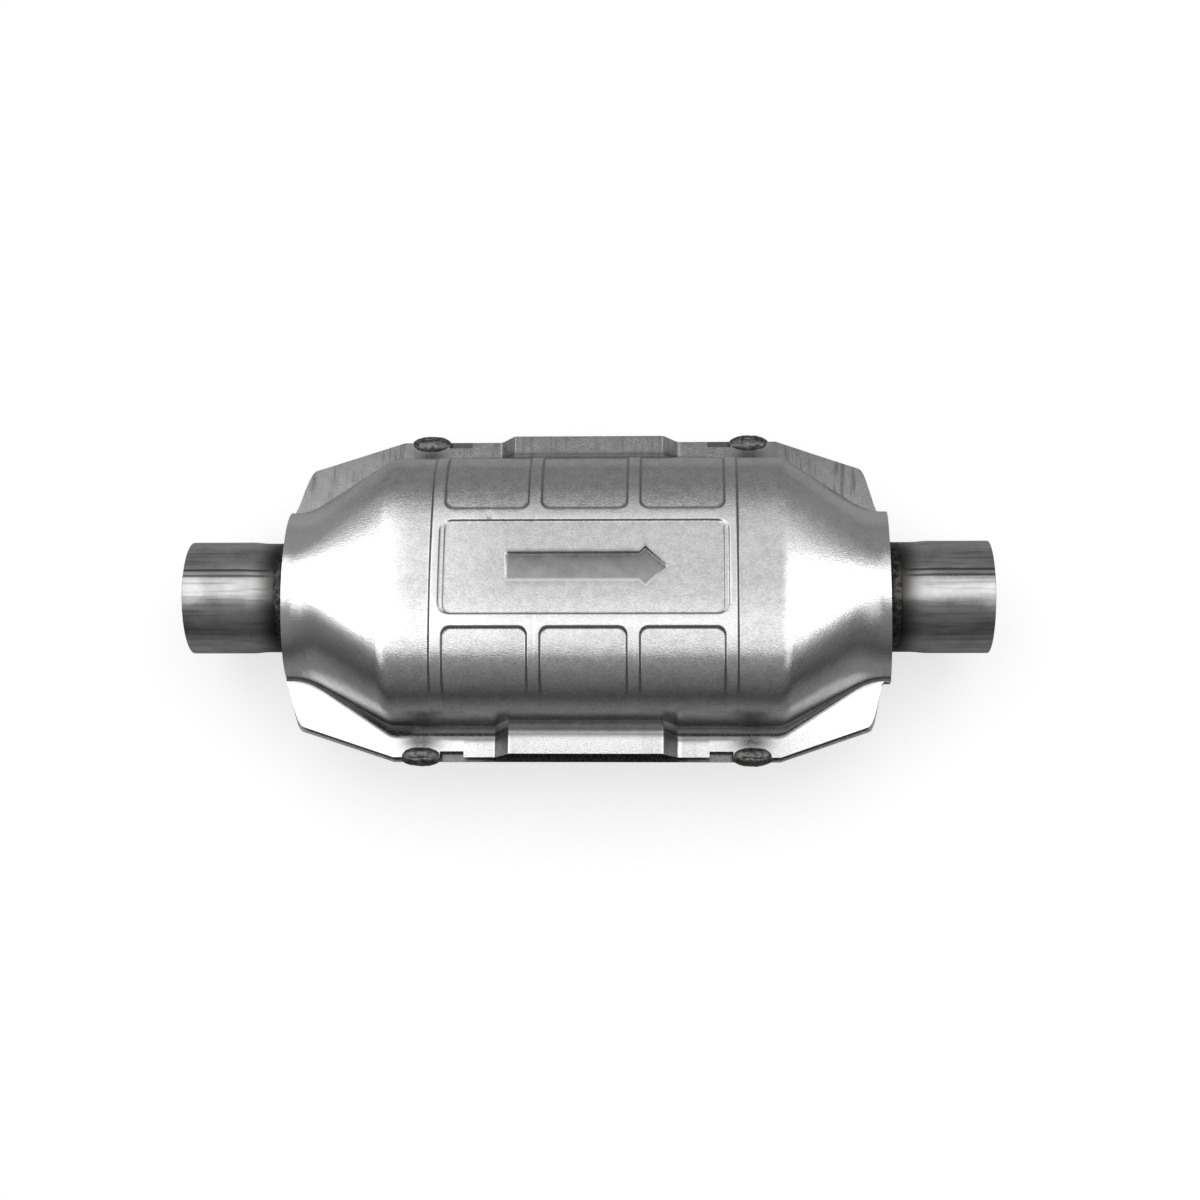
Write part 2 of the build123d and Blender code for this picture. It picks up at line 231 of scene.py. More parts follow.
def settle(piece: bpy.types.Object, name: str, material: bpy.types.Material) -> None:
    """Name a finished piece, dress it and let it ride on the converter's body.

    Args:
        piece: The finished mesh object.
        name: Its name.
        material: Its finish.
    """
    activate(piece)
    apply_transform()
    piece.name = name
    piece.data.name = name
    piece.data.materials.clear()
    piece.data.materials.append(material)
    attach(piece, BODY)


class NodeBoard:
    """A node tree with short calls to add and link nodes."""

    def __init__(self, tree: bpy.types.NodeTree) -> None:
        """Keep the tree."""
        self.tree = tree

    def feed(self, node: bpy.types.Node, inputs: dict) -> None:
        """Link or set a node's inputs.

        Args:
            node: The node.
            inputs: Values or sockets, by the input's name or index.
        """
        for key, value in inputs.items():
            if isinstance(value, Socket):
                self.tree.links.new(value, node.inputs[key])
            else:
                node.inputs[key].default_value = value

    def add(self, kind: str, inputs: dict | None = None, **settings: object) -> bpy.types.Node:
        """Add a node.

        Args:
            kind: The node's type without its ShaderNode prefix.
            inputs: Values or sockets for its inputs, by name or index.
            **settings: Attributes of the node.

        Returns:
            The new node.
        """
        node = self.tree.nodes.new("ShaderNode" + kind)
        for name, value in settings.items():
            setattr(node, name, value)
        self.feed(node, inputs or {})
        return node

    def ramp(self, value: Socket, stops: Stops) -> Socket:
        """Map a value through grey stops.

        Args:
            value: The socket that is mapped.
            stops: Pairs of position and grey level.

        Returns:
            The colour output.
        """
        node = self.add("ValToRGB", {0: value})
        elements = node.color_ramp.elements
        while len(elements) < len(stops):
            elements.new(0.5)
        for element, (position, level) in zip(elements, stops):
            element.position = position
            element.color = (level, level, level, 1.0)
        return node.outputs["Color"]

    def between(self, value: Socket, low: float = 0.0, high: float = 1.0, start: float = 0.0, stop: float = 1.0,
                ease: str = "LINEAR") -> Socket:
        """Stretch a value from one range to another.

        Args:
            value: The socket that is stretched.
            low: The result at the start.
            high: The result at the stop.
            start: Where the range starts.
            stop: Where the range stops.
            ease: The kind of interpolation.

        Returns:
            The result, held between low and high.
        """
        return self.add("MapRange", {0: value, 1: start, 2: stop, 3: low, 4: high}, interpolation_type=ease).outputs[0]

    def math(self, operation: str, first: object, second: object = 0.0) -> Socket:
        """Return the output of a maths node with two inputs."""
        return self.add("Math", {0: first, 1: second}, operation=operation).outputs[0]

    def plus(self, first: object, second: object) -> Socket:
        """Return a sum."""
        return self.math("ADD", first, second)

    def times(self, first: object, second: object) -> Socket:
        """Return a product."""
        return self.math("MULTIPLY", first, second)

    def mix(self, share: object, first: object, second: object) -> Socket:
        """Return a mix of two colours."""
        return self.add("Mix", {0: share, 6: first, 7: second}, data_type="RGBA").outputs[2]

    def axes(self, place: Socket) -> bpy.types.NodeOutputs:
        """Return a vector's X, Y and Z."""
        return self.add("SeparateXYZ", {0: place}).outputs

    def stretch(self, place: Socket, scale: tuple[float, float, float], turn: float = 0.0) -> Socket:
        """Return coordinates that are scaled, and turned about Z."""
        return self.add("Mapping", {"Vector": place, "Scale": scale, "Rotation": (0.0, 0.0, turn)}).outputs[0]

    def speckle(self, place: Socket, scale: object, detail: float, roughness: float = 0.5) -> Socket:
        """Return a noise pattern."""
        inputs = {"Vector": place, "Scale": scale, "Detail": detail, "Roughness": roughness}
        return self.add("TexNoise", inputs).outputs["Fac"]

    def relief(self, height: Socket, distance: float, strength: float = 1.0) -> Socket:
        """Return the normals of a relief."""
        return self.add("Bump", {"Strength": strength, "Distance": distance, "Height": height}).outputs[0]


def grey(level: float, warmth: float = 0.0) -> tuple[float, float, float, float]:
    """Return an opaque grey, with a little warmth if asked."""
    return (level * (1.0 + warmth), level, level * (1.0 - warmth), 1.0)


class Patterns:
    """Shader groups that several finishes share, each built once."""

    def __init__(self) -> None:
        """Build the groups."""
        self.mottle = self._build_mottle()
        self.draw_marks = self._build_draw_marks()

    @staticmethod
    def _new_group(name: str, inputs: list[tuple[str, float]],
                   outputs: list[str]) -> tuple[NodeBoard, bpy.types.NodeOutputs, bpy.types.Node]:
        """Start a group with float inputs and outputs.

        Args:
            name: The group's name.
            inputs: Pairs of name and default value.
            outputs: Names of the outputs.

        Returns:
            The group's board, what it is given, and its output node.
        """
        group = bpy.data.node_groups.new(name, "ShaderNodeTree")
        group.interface.new_socket(name="Place", in_out="INPUT", socket_type="NodeSocketVector")
        for label, value in inputs:
            made = group.interface.new_socket(name=label, in_out="INPUT", socket_type="NodeSocketFloat")
            made.default_value = value
        for label in outputs:
            group.interface.new_socket(name=label, in_out="OUTPUT", socket_type="NodeSocketFloat")
        return NodeBoard(group), group.nodes.new("NodeGroupInput").outputs, group.nodes.new("NodeGroupOutput")

    def _build_mottle(self) -> bpy.types.NodeTree:
        """Return the group for cloudy patches and the fine grain of rolled sheet."""
        sizes = [("Cloud size", 60.0), ("Grain size", 900.0)]
        board, given, result = self._new_group("sheet_mottle", sizes, ["Cloud", "Grain"])
        rolled = board.stretch(given["Place"], (0.55, 1.0, 1.0))
        board.feed(result, {
            "Cloud": board.speckle(given["Place"], given["Cloud size"], 6.0, 0.62),
            "Grain": board.speckle(rolled, given["Grain size"], 3.0, 0.7),
        })
        return board.tree

    def _build_draw_marks(self) -> bpy.types.NodeTree:
        """Return the group for the streaks that a press leaves across a flange."""
        board, given, result = self._new_group("press_draw_marks", [("Fineness", 420.0)], ["Streak"])
        across = board.stretch(given["Place"], (1.0, 0.09, 1.0), math.radians(12.0))
        streak = board.speckle(across, given["Fineness"], 2.0, 0.6)
        patch = board.speckle(given["Place"], 45.0, 2.0)
        sharp = board.ramp(streak, [(0.50, 0.0), (0.60, 1.0)])
        kept = board.ramp(patch, [(0.36, 0.0), (0.52, 1.0)])
        board.feed(result, {"Streak": board.times(sharp, kept)})
        return board.tree

    def place(self, board: NodeBoard, group: bpy.types.NodeTree, place: Socket, **values: float) -> tuple:
        """Put a group in a material.

        Args:
            board: The material's board.
            group: The group.
            place: The coordinates that it reads.
            **values: Values for its inputs, with spaces written as underscores.

        Returns:
            The group's outputs.
        """
        inputs = {"Place": place} | {name.replace("_", " "): value for name, value in values.items()}
        return tuple(board.add("Group", inputs, node_tree=group).outputs)


def new_material(name: str) -> tuple[bpy.types.Material, NodeBoard, bpy.types.Node, Socket]:
    """Start a material.

    Args:
        name: The finish's name.

    Returns:
        The material, its board, its Principled node and the object coordinates.
    """
    material = bpy.data.materials.new(name)
    material.use_nodes = True
    board = NodeBoard(material.node_tree)
    shader = material.node_tree.nodes["Principled BSDF"]
    return material, board, shader, board.add("TexCoord").outputs["Object"]


@dataclass(frozen=True)
class SheetFinish:
    """Satin rolled sheet, finely mottled, with draw marks, soot, painted shade and painted highlights where the mesh
    asks for them.
    """

    name: str
    level: float
    dark_level: float
    roughness: float
    roughness_spread: float
    cloud_size: float = 190.0
    grain_size: float = 1400.0
    grain_share: float = 0.7
    grain_height: float = 0.085
    cloud_height: float = 0.060
    mark_height: float = 0.05
    soot_and_shade_level: float = 0.03
    highlight_level: float = 0.93

    def build(self, patterns: Patterns) -> bpy.types.Material:
        """Return the finish as a material.

        Args:
            patterns: The shared groups.

        Returns:
            The material. Its heights are in millimetres.
        """
        material, board, shader, place = new_material(self.name)
        cloud, grain = patterns.place(
            board, patterns.mottle, place, Cloud_size=self.cloud_size, Grain_size=self.grain_size)
        streak, = patterns.place(board, patterns.draw_marks, place)
        soot_and_shade, drawn_and_shade, painted_highlight = (
            board.add("Attribute", attribute_name=name).outputs["Fac"] for name in ("soot_and_shade", "drawn_and_shade", "painted_highlight"))
        fine = board.ramp(grain, [(0.34, 0.0), (0.66, 1.0)])
        patch = board.ramp(cloud, [(0.38, 0.0), (0.60, 1.0)])
        blotch = board.plus(board.times(fine, self.grain_share), board.times(patch, 1.0 - self.grain_share))
        marks = board.times(drawn_and_shade, streak)
        tone = board.mix(blotch, grey(self.dark_level), grey(self.level))
        # These mixes paint light onto the sheet: a painted highlight, painted shade over the whole drawn area besides
        # its streaks of draw marks, and painted shade in folds, rib walls, the arrow and on flanges, with real soot
        # only around the tack welds.
        for share, level in (
            (painted_highlight, self.highlight_level),
            (board.times(drawn_and_shade, 0.50), self.dark_level * 0.45),
            (marks, self.dark_level * 0.55),
            (board.times(soot_and_shade, board.between(grain, 0.45, 1.55)), self.soot_and_shade_level),
        ):
            tone = board.mix(share, tone, grey(level))
        rough = board.between(cloud, self.roughness - self.roughness_spread, self.roughness + self.roughness_spread)
        rough = board.plus(board.plus(rough, board.times(soot_and_shade, 0.25)), board.times(drawn_and_shade, 0.16))
        height = board.plus(board.times(grain, self.grain_height), board.times(cloud, self.cloud_height))
        relief = board.relief(board.plus(height, board.times(marks, self.mark_height)), MM)
        board.feed(shader, {"Base Color": tone, "Metallic": 1.0, "Roughness": rough, "Normal": relief})
        return material


@dataclass(frozen=True)
class WeldFinish:
    """Dark oxidised weld metal."""

    name: str = "weld_metal"
    level: float = 0.30
    dark_level: float = 0.10

    def build(self, patterns: Patterns) -> bpy.types.Material:
        """Return the finish as a material.

        Args:
            patterns: The shared groups.

        Returns:
            The material.
        """
        material, board, shader, place = new_material(self.name)
        cloud, _ = patterns.place(board, patterns.mottle, place, Cloud_size=420.0, Grain_size=1600.0)
        share = board.ramp(cloud, [(0.40, 0.0), (0.62, 1.0)])
        board.feed(shader, {
            "Base Color": board.mix(share, grey(self.dark_level, 0.04), grey(self.level, 0.02)),
            "Metallic": 1.0,
            "Roughness": board.between(cloud, 0.35, 0.55),
            "Normal": board.relief(cloud, 0.6 * MM, 0.6),
        })
        return material


@dataclass(frozen=True)
class TubeFinish:
    """Drawn tube with a seam line, streaks and heat tint beside its weld."""

    name: str
    weld_x: float
    outward: int
    level: float = 0.56
    seam_angle: float = math.radians(80.5)
    seam_half_angle: float = math.radians(4.4)
    seam_height: float = 0.25
    tint_length: float = 6.0 * MM
    tint_patches: float = 14.0 * MM
    tint_level: float = 0.13

    def build(self, patterns: Patterns) -> bpy.types.Material:
        """Return the finish as a material.

        Args:
            patterns: The shared groups.

        Returns:
            The material.
        """
        material, board, shader, place = new_material(self.name)
        cloud, grain = patterns.place(board, patterns.mottle, place, Cloud_size=90.0, Grain_size=1500.0)
        axes = board.axes(place)
        angle = board.math("ARCTAN2", axes["Z"], axes["Y"])
        from_seam = board.math("ABSOLUTE", board.math("SUBTRACT", angle, self.seam_angle))
        seam = board.math("LESS_THAN", from_seam, self.seam_half_angle)
        ridge = board.math("LESS_THAN", from_seam, self.seam_half_angle * 0.4)
        away = board.times(board.math("SUBTRACT", axes["X"], self.weld_x), float(self.outward))
        reach = board.plus(board.times(cloud, self.tint_patches), self.tint_length)
        tint = board.between(board.math("DIVIDE", away, reach), 1.0, 0.0, ease="SMOOTHSTEP")
        streak = board.speckle(board.stretch(place, (0.05, 1.0, 1.0)), 520.0, 3.0)
        tone = board.mix(
            board.ramp(cloud, [(0.35, 0.0), (0.65, 1.0)]), grey(self.level * 0.72), grey(self.level))
        for share, part, warmth in (
            (board.ramp(streak, [(0.50, 0.0), (0.66, 0.55)]), 0.35, 0.0),
            (seam, 0.25, 0.0),
            (ridge, 0.75, 0.0),
            (tint, self.tint_level, 0.05),
        ):
            tone = board.mix(share, tone, grey(self.level * part, warmth))
        height = board.plus(board.times(grain, 0.04), board.times(seam, self.seam_height))
        board.feed(shader, {
            "Base Color": tone,
            "Metallic": 1.0,
            "Roughness": board.between(cloud, 0.22, 0.36),
            "Normal": board.relief(height, 0.5 * MM),
        })
        return material


@dataclass(frozen=True)
class MattFinish:
    """A matt, non-metal finish with patches and a rough relief."""

    name: str
    colour: tuple[float, float, float]
    patch_share: float = 0.75

    def build(self, patterns: Patterns) -> bpy.types.Material:
        """Return the finish as a material.

        Args:
            patterns: The shared groups.

        Returns:
            The material.
        """
        material, board, shader, place = new_material(self.name)
        cloud, grain = patterns.place(board, patterns.mottle, place, Cloud_size=240.0, Grain_size=1800.0)
        share = board.ramp(cloud, [(0.3, 0.0), (0.7, 1.0)])
        darker = tuple(part * self.patch_share for part in self.colour) + (1.0,)
        board.feed(shader, {
            "Base Color": board.mix(share, darker, self.colour + (1.0,)),
            "Roughness": 0.9,
            "Normal": board.relief(grain, 0.4 * MM, 0.4),
        })
        return material


@dataclass(frozen=True)
class ShieldSizes:
    """Sizes that both shield halves share, in metres and radians."""

    sheet: float = 0.9 * MM
    half_width: float = 69.3 * MM
    crown_height: float = 54.0 * MM
    crown_radius: float = 190.0 * MM
    crown_angle: float = math.radians(13.0)
    draft: float = math.radians(6.0)
    body_half: float = 98.0 * MM
    cone_length: float = 44.0 * MM
    neck_radius: float = 43.6 * MM
    end: float = 153.0 * MM
    rake: float = 3.0 * MM
    blend: float = 3.0 * MM
    neck_blend: float = 8.0 * MM
    seat: float = 1.5 * MM
    fold: float = 5.8 * MM
    neck_fold: float = 1.5 * MM
    least_flange: float = 0.3 * MM
    rib_height: float = 1.3 * MM
    rib_slope: float = 1.5 * MM
    rib_end: float = math.radians(87.0)
    rib_run_out: float = math.radians(14.0)
    rib_groove: float = 0.12
    groove_width: float = 0.8 * MM
    corner: float = 4.2 * MM
    corner_turn: float = 3.0 * MM
    grid_half: float = 75.8 * MM
    outer_rib: float = 7.8 * MM
    twin_step: float = 2.4 * MM
    twin_slope: float = 0.8 * MM
    inner_rib_x: float = 24.3 * MM
    inner_rib: float = 7.9 * MM
    long_rib_y: float = 27.1 * MM
    long_rib: float = 8.0 * MM

    def edges_along(self) -> tuple[float, float, float]:
        """Return where the middle panel ends and where the inner rib starts and ends along X."""
        reach = self.inner_rib / 2
        return self.grid_half - self.outer_rib, self.inner_rib_x - reach, self.inner_rib_x + reach


@dataclass(frozen=True)
class ArrowSizes:
    """Sizes of the recessed flow arrow at the top of its walls, in metres, and the levels of its painted shade."""

    tail: float = -39.2 * MM
    tip: float = 41.6 * MM
    half_shaft: float = 8.0 * MM
    half_head: float = 11.0 * MM
    head_length: float = 11.6 * MM
    barb: float = 3.0 * MM
    deep: float = 1.3 * MM
    shallow: float = 0.36 * MM
    steep_wall: float = 1.9 * MM
    easy_wall: float = 2.6 * MM
    wall_softness: float = 0.35
    # Levels of painted shade on the arrow's floor, along its steep wall, below its edge, and in patches.
    floor_shade: float = 0.48
    deep_shade: float = 0.14
    lip_shade: float = 0.62
    wall_shade: float = 0.22
    rim_shade: float = 0.16
    patch_shade: float = 0.06

    def reach_at(self, x: float) -> float:
        """Return the arrow's half width at a place along the converter.

        Args:
            x: The place.

        Returns:
            The half width, below zero beyond the tip.
        """
        head = self.tip - self.head_length
        if x < head - self.barb:
            return self.half_shaft
        if x < head:
            return self.half_shaft + (self.half_head - self.half_shaft) * (x - head + self.barb) / self.barb
        return self.half_head * (self.tip - x) / self.head_length

    def shares_at(self, x: float, y: float) -> tuple[float, float, float]:
        """Return how far down the walls a point lies.

        Args:
            x: Place along the converter.
            y: Place across it.

        Returns:
            Shares from 0 to 1 for the steep wall, the easy wall and the tail's wall.
        """
        reach = self.reach_at(x)
        steep = bend((reach - y) / self.steep_wall, self.wall_softness)
        easy = bend((reach + y) / self.easy_wall, self.wall_softness)
        return steep, easy, bend((x - self.tail) / self.easy_wall, self.wall_softness)

    def slant_at(self, y: float) -> float:
        """Return 0 at the shallow edge of the arrow's floor and 1 at its deep edge."""
        return smooth(0.5 + y / (2.0 * self.half_shaft))

    def depth_at(self, x: float, y: float) -> float:
        """Return how deep the arrow is pressed at a point.

        Args:
            x: Place along the converter.
            y: Place across it.

        Returns:
            The depth below the crown.
        """
        floor = self.shallow + (self.deep - self.shallow) * self.slant_at(y)
        return floor * math.prod(self.shares_at(x, y))

    def tones_at(self, x: float, y: float) -> tuple[float, float]:
        """Return the arrow's painted shade and painted highlight at a point.

        Args:
            x: Place along the converter.
            y: Place across it.

        Returns:
            Its painted shade and its painted highlight, each from 0 to 1.
        """
        # Painted shade on the floor, under the steep wall and below the edge; painted highlight along the easy and
        # tail walls.
        steep, easy, tail = self.shares_at(x, y)
        from_steep = self.reach_at(x) - y
        patchy = self.patch_shade * noise.noise(Vector((120.0 * x, 220.0 * y, 0.5)))
        arrow_shade = steep * easy * tail * (self.floor_shade + patchy + self.deep_shade * self.slant_at(y))
        if y > 0.0:
            arrow_shade = max(arrow_shade, self.lip_shade * peak(from_steep / self.steep_wall, 0.25, 0.55) * easy * tail)
        arrow_shade += self.wall_shade * steep * peak(max(0.0, from_steep), 0.0, 3.5 * MM) * easy * tail
        if y < 0.0:
            under = peak(self.reach_at(x) + y, 0.0, 2.0 * MM)
            arrow_shade = max(arrow_shade, self.rim_shade * under * tail * (1.0 - easy))
        painted_highlight = 4.0 * max(easy * (1.0 - easy) * steep * tail, tail * (1.0 - tail) * steep * easy)
        return arrow_shade, min(1.0, painted_highlight)


@dataclass(frozen=True)
class WearAndLight:
    """Where the shield has tack soot and draw marks, and where painted shade and painted highlights go: lengths in
    metres, levels from 0 to 1.
    """

    tack: tuple[float, float, float] = (83.0 * MM, 76.0 * MM, 3.0 * MM)
    tack_reach: tuple[float, float, float] = (12.0 * MM, 7.0 * MM, 8.0 * MM)
    tack_soot: float = 0.85
    # Apart from the tack soot and the draw marks, these levels are painted shade (fold, flanges, rib walls) and
    # painted highlight (rib tops, inlet end, cones, lower flange).
    fold_shade: float = 0.98
    toe_shade: float = 0.40
    raised_fold_share: float = 0.35
    dark_fold_x: float = -100.0 * MM
    dark_fold_reach: float = 12.0 * MM
    flange_shade: float = 0.72
    hidden_shade: float = 0.85
    slot_shade: float = 0.20
    lower_shade: float = 0.70
    corner_shade: float = 0.50
    corner_reach: float = 0.35 * MM
    rib_highlight: float = 0.08
    lit_rib_highlight: float = 0.30
    cone_highlight: float = 0.35
    inlet_highlight: float = 0.80
    flange_highlight: float = 0.55
    ear_marks_and_shade: float = 0.65
    flange_marks_and_shade: float = 0.35
    joggle_marks: float = 0.14

    def tack_soot_at(self, point: Vector) -> float:
        """Return the soot that the nearest tack weld leaves at a point.

        Args:
            point: The point.

        Returns:
            The soot from 0 to 1.
        """
        gaps = (abs(point.x) - self.tack[0], abs(point.y) - self.tack[1], max(0.0, abs(point.z) - self.tack[2]))
        near = math.hypot(*(gap / reach for gap, reach in zip(gaps, self.tack_reach)))
        return self.tack_soot * math.exp(-near * near * 1.6)


def panel_share(distance: float, slope: float) -> float:
    """Return 1 inside a panel's edge and 0 outside, with a pressed wall as wide as the slope."""
    return bend(0.5 - distance / slope)


def rounded_box(x: float, y: float, half_x: float, half_y: float, corner: float) -> float:
    """Return the distance from a point to a rounded rectangle around the origin.

    Args:
        x: The point's place along X.
        y: Its place along Y.
        half_x: Half of the rectangle's length.
        half_y: Half of its width.
        corner: The radius of its corners.

    Returns:
        The distance, negative inside.
    """
    over_x = abs(x) - half_x + corner
    over_y = abs(y) - half_y + corner
    outside = math.hypot(max(over_x, 0.0), max(over_y, 0.0))
    return outside + min(max(over_x, over_y), 0.0) - corner


def across_wall(start: float, way: int, width: float, steps: int = 5) -> list[float]:
    """Return places across a pressed wall, from a little before it to a little after it."""
    return [start + way * width * (step / steps - 0.1) for step in range(steps + 2)]


def beside_wall(start: float, way: int) -> list[float]:
    """Return places on the far side of a pressed wall, where a panel's corners turn."""
    return [start - way * 0.7 * MM * step for step in range(1, 7)]


def thin_out(places: list[float], keep: Callable[[float], bool] | None = None) -> list[float]:
    """Drop places that lie too close to the one before.

    Args:
        places: The sorted places.
        keep: Says which places may lie closer.

    Returns:
        The places that stay.
    """
    kept = [places[0]]
    for place in places[1:]:
        gap = abs(place - kept[-1])
        if gap > 0.2 * MM or (gap > 0.07 * MM and keep is not None and keep(place)):
            kept.append(place)
    return kept


@dataclass
class Shield:
    """One stamped half of the heat shield, formed from a flat grid as the press forms the sheet."""

    half: Half
    finish: bpy.types.Material
    sizes: ShieldSizes = field(default_factory=ShieldSizes)
    wear_and_light: WearAndLight = field(default_factory=WearAndLight)
    arrow: ArrowSizes | None = None
    flange_half: float = 84.0 * MM
    spread: float = 0.0
    joggle_half: float = 37.9 * MM
    joggle_ramp: float = 8.5 * MM
    joggle_rise: float = 9.0 * MM
    notch_from: float = 61.5 * MM
    notch_to: float = 73.5 * MM
    notch_depth: float = 3.0 * MM
    ear_lead: float = 1.0 * MM
    ear_width: float = 24.1 * MM
    ear_corner: float = 8.0 * MM
    ear_x: float = 145.5 * MM
    coarse: float = 4.0 * MM
    nick: tuple[float, float, float] = (-46.8 * MM, 26.2 * MM, 3.2 * MM)
    nick_depth: float = 0.4 * MM

    def share_at(self, x: float) -> float:
        """Return how far the section at a place has gone from the body to the neck.

        Args:
            x: The place along the converter.

        Returns:
            0 at the body, 1 at the neck.
        """
        sizes = self.sizes
        out = abs(x) - sizes.body_half
        if out <= -sizes.blend:
            return 0.0
        if out < sizes.blend:
            return sizes.blend / sizes.cone_length * ((out + sizes.blend) / (2 * sizes.blend)) ** 2
        if out < sizes.cone_length - sizes.neck_blend:
            return out / sizes.cone_length
        if out < sizes.cone_length + sizes.neck_blend:
            left = (sizes.cone_length + sizes.neck_blend - out) / (2 * sizes.neck_blend)
            return 1.0 - sizes.neck_blend / sizes.cone_length * left**2
        return 1.0

    def rise_at(self, x: float) -> float:
        """Return how far the vent joggle raises the flange.

        Args:
            x: The place along the converter.

        Returns:
            The rise, none on the lower half.
        """
        if self.half is Half.LOWER:
            return 0.0
        return self.joggle_rise * bend((self.joggle_half + self.joggle_ramp - abs(x)) / self.joggle_ramp, 0.15)

    def ear_places(self, x: float, side: int) -> tuple[float, float, float]:
        """Return where the nearest ear's corner and foot lie along X, and how round its corner is.

        Args:
            x: A place along the converter.
            side: 1 on the left and -1 on the right.

        Returns:
            The corner's place, the foot's place and the corner's softness.
        """
        if x < 0.0:
            return self.ear_x, self.sizes.end, self.ear_corner
        if side > 0:
            return self.ear_x - 3.5 * MM, self.sizes.end - 4.5 * MM, 1.4 * self.ear_corner
        return self.ear_x - 2.5 * MM, self.sizes.end - 4.0 * MM, self.ear_corner

    def flange_edge(self, x: float, side: int) -> float:
        """Return the flange's half width, with its ears and notches.

        Args:
            x: The place along the converter.
            side: 1 on the left and -1 on the right.

        Returns:
            The half width.
        """
        sizes = self.sizes
        out = abs(x)
        straight = sizes.body_half - self.ear_lead
        corner_x, foot_x, soft = self.ear_places(x, side)
        corner_x += self.spread / 2
        corner_y = sizes.neck_radius + self.ear_width + self.spread
        if out <= straight:
            notched = self.half is Half.UPPER and self.notch_from < out < self.notch_to
            return self.flange_half - (self.notch_depth if notched else 0.0)
        first = (corner_y - self.flange_half) / (corner_x - straight)
        second = (sizes.neck_radius - corner_y) / (foot_x - corner_x)
        along = self.flange_half + first * (out - straight)
        down = corner_y + second * (out - corner_x)
        gap = along - down
        if abs(gap) < soft:
            return min(along, down) - (soft - abs(gap)) ** 2 / (4 * soft)
        return min(along, down)

    def rib_share(self, x: float, y: float) -> float:
        """Return how far a point of the crown is raised.

        Args:
            x: Place along the converter.
            y: Place across it.

        Returns:
            0 on a panel, 1 on a rib.
        """
        sizes = self.sizes
        slope = sizes.rib_slope
        half_slope, half_twin = slope / 2, sizes.twin_slope / 2
        raised = panel_share(abs(x) - sizes.grid_half + half_slope, slope)
        if raised == 0.0:
            return 0.0
        inner, rib_in, rib_out = sizes.edges_along()
        panel_y = sizes.long_rib_y - sizes.long_rib / 2
        middle = rounded_box(x, y, inner + half_twin, panel_y + half_slope, sizes.corner)
        twin = rounded_box(x, y, inner + half_twin + sizes.twin_step, panel_y + half_slope, sizes.corner + MM)
        turn = sizes.corner_turn
        wall = slope + (sizes.twin_slope - slope) * grows(abs(x), inner - turn, turn) * fades(abs(y), panel_y, turn)
        raised *= 1.0 - 0.5 * panel_share(middle, wall) - 0.5 * panel_share(twin, wall)
        raised *= 1.0 - sizes.rib_groove * peak(abs(x), sizes.inner_rib_x, sizes.groove_width)
        low = sizes.long_rib_y + sizes.long_rib / 2
        deep = 4 * sizes.half_width
        for start, stop in ((-inner, -rib_out), (-rib_in, rib_in), (rib_out, inner)):
            reach = (stop - start) / 2 + half_slope
            gap = rounded_box(x - (start + stop) / 2, abs(y) - low - deep, reach, deep + half_slope, sizes.corner)
            raised *= 1.0 - panel_share(gap, slope)
        return raised

    def rows(self) -> list[float]:
        """Return the places along X of the grid's rows, close together where the form turns."""
        sizes = self.sizes
        inner, rib_in, rib_out = sizes.edges_along()
        walls = [(inner, 1), (rib_out, -1), (rib_in, 1)]
        places = [sizes.grid_half, *across_wall(sizes.grid_half, -1, sizes.rib_slope)]
        for start, way in walls:
            places += across_wall(start, way, sizes.rib_slope) + beside_wall(start, way)
        places += across_wall(inner + sizes.twin_step, 1, sizes.twin_slope, 4)
        places += [sizes.inner_rib_x + 0.5 * MM * step for step in range(-3, 4)]
        count = int(sizes.body_half / self.coarse)
        places += [sizes.body_half * step / count for step in range(count + 1)]
        places += [sizes.body_half + sizes.blend * step / 3 for step in range(-3, 4)]
        reach = sizes.end - sizes.body_half
        places += [sizes.body_half + reach * step / 16 for step in range(17)]
        places += [self.ear_x + 1.4 * MM * step for step in range(-4, 5)]
        if self.half is Half.UPPER:
            hair = 0.04 * MM
            places += [notch + way * hair for notch in (self.notch_from, self.notch_to) for way in (-1, 1)]
            places += [self.joggle_half + self.joggle_ramp * step / 6 for step in range(7)]
        places = [side * place for place in places for side in (-1, 1)]
        if self.arrow:
            head = self.arrow.tip - self.arrow.head_length
            places += [self.arrow.tail + self.arrow.easy_wall * step / 5 for step in range(-1, 7)]
            places += [head + 0.65 * MM * step for step in range(-5, 20)]
            places += [self.nick[0] + 0.7 * MM * step for step in range(-3, 4)]
        return thin_out(sorted(places), self.beside_notch)

    def beside_notch(self, x: float) -> bool:
        """Return whether a row makes one of the notches' sharp ends."""
        return min(abs(abs(x) - self.notch_from), abs(abs(x) - self.notch_to)) < 0.05 * MM

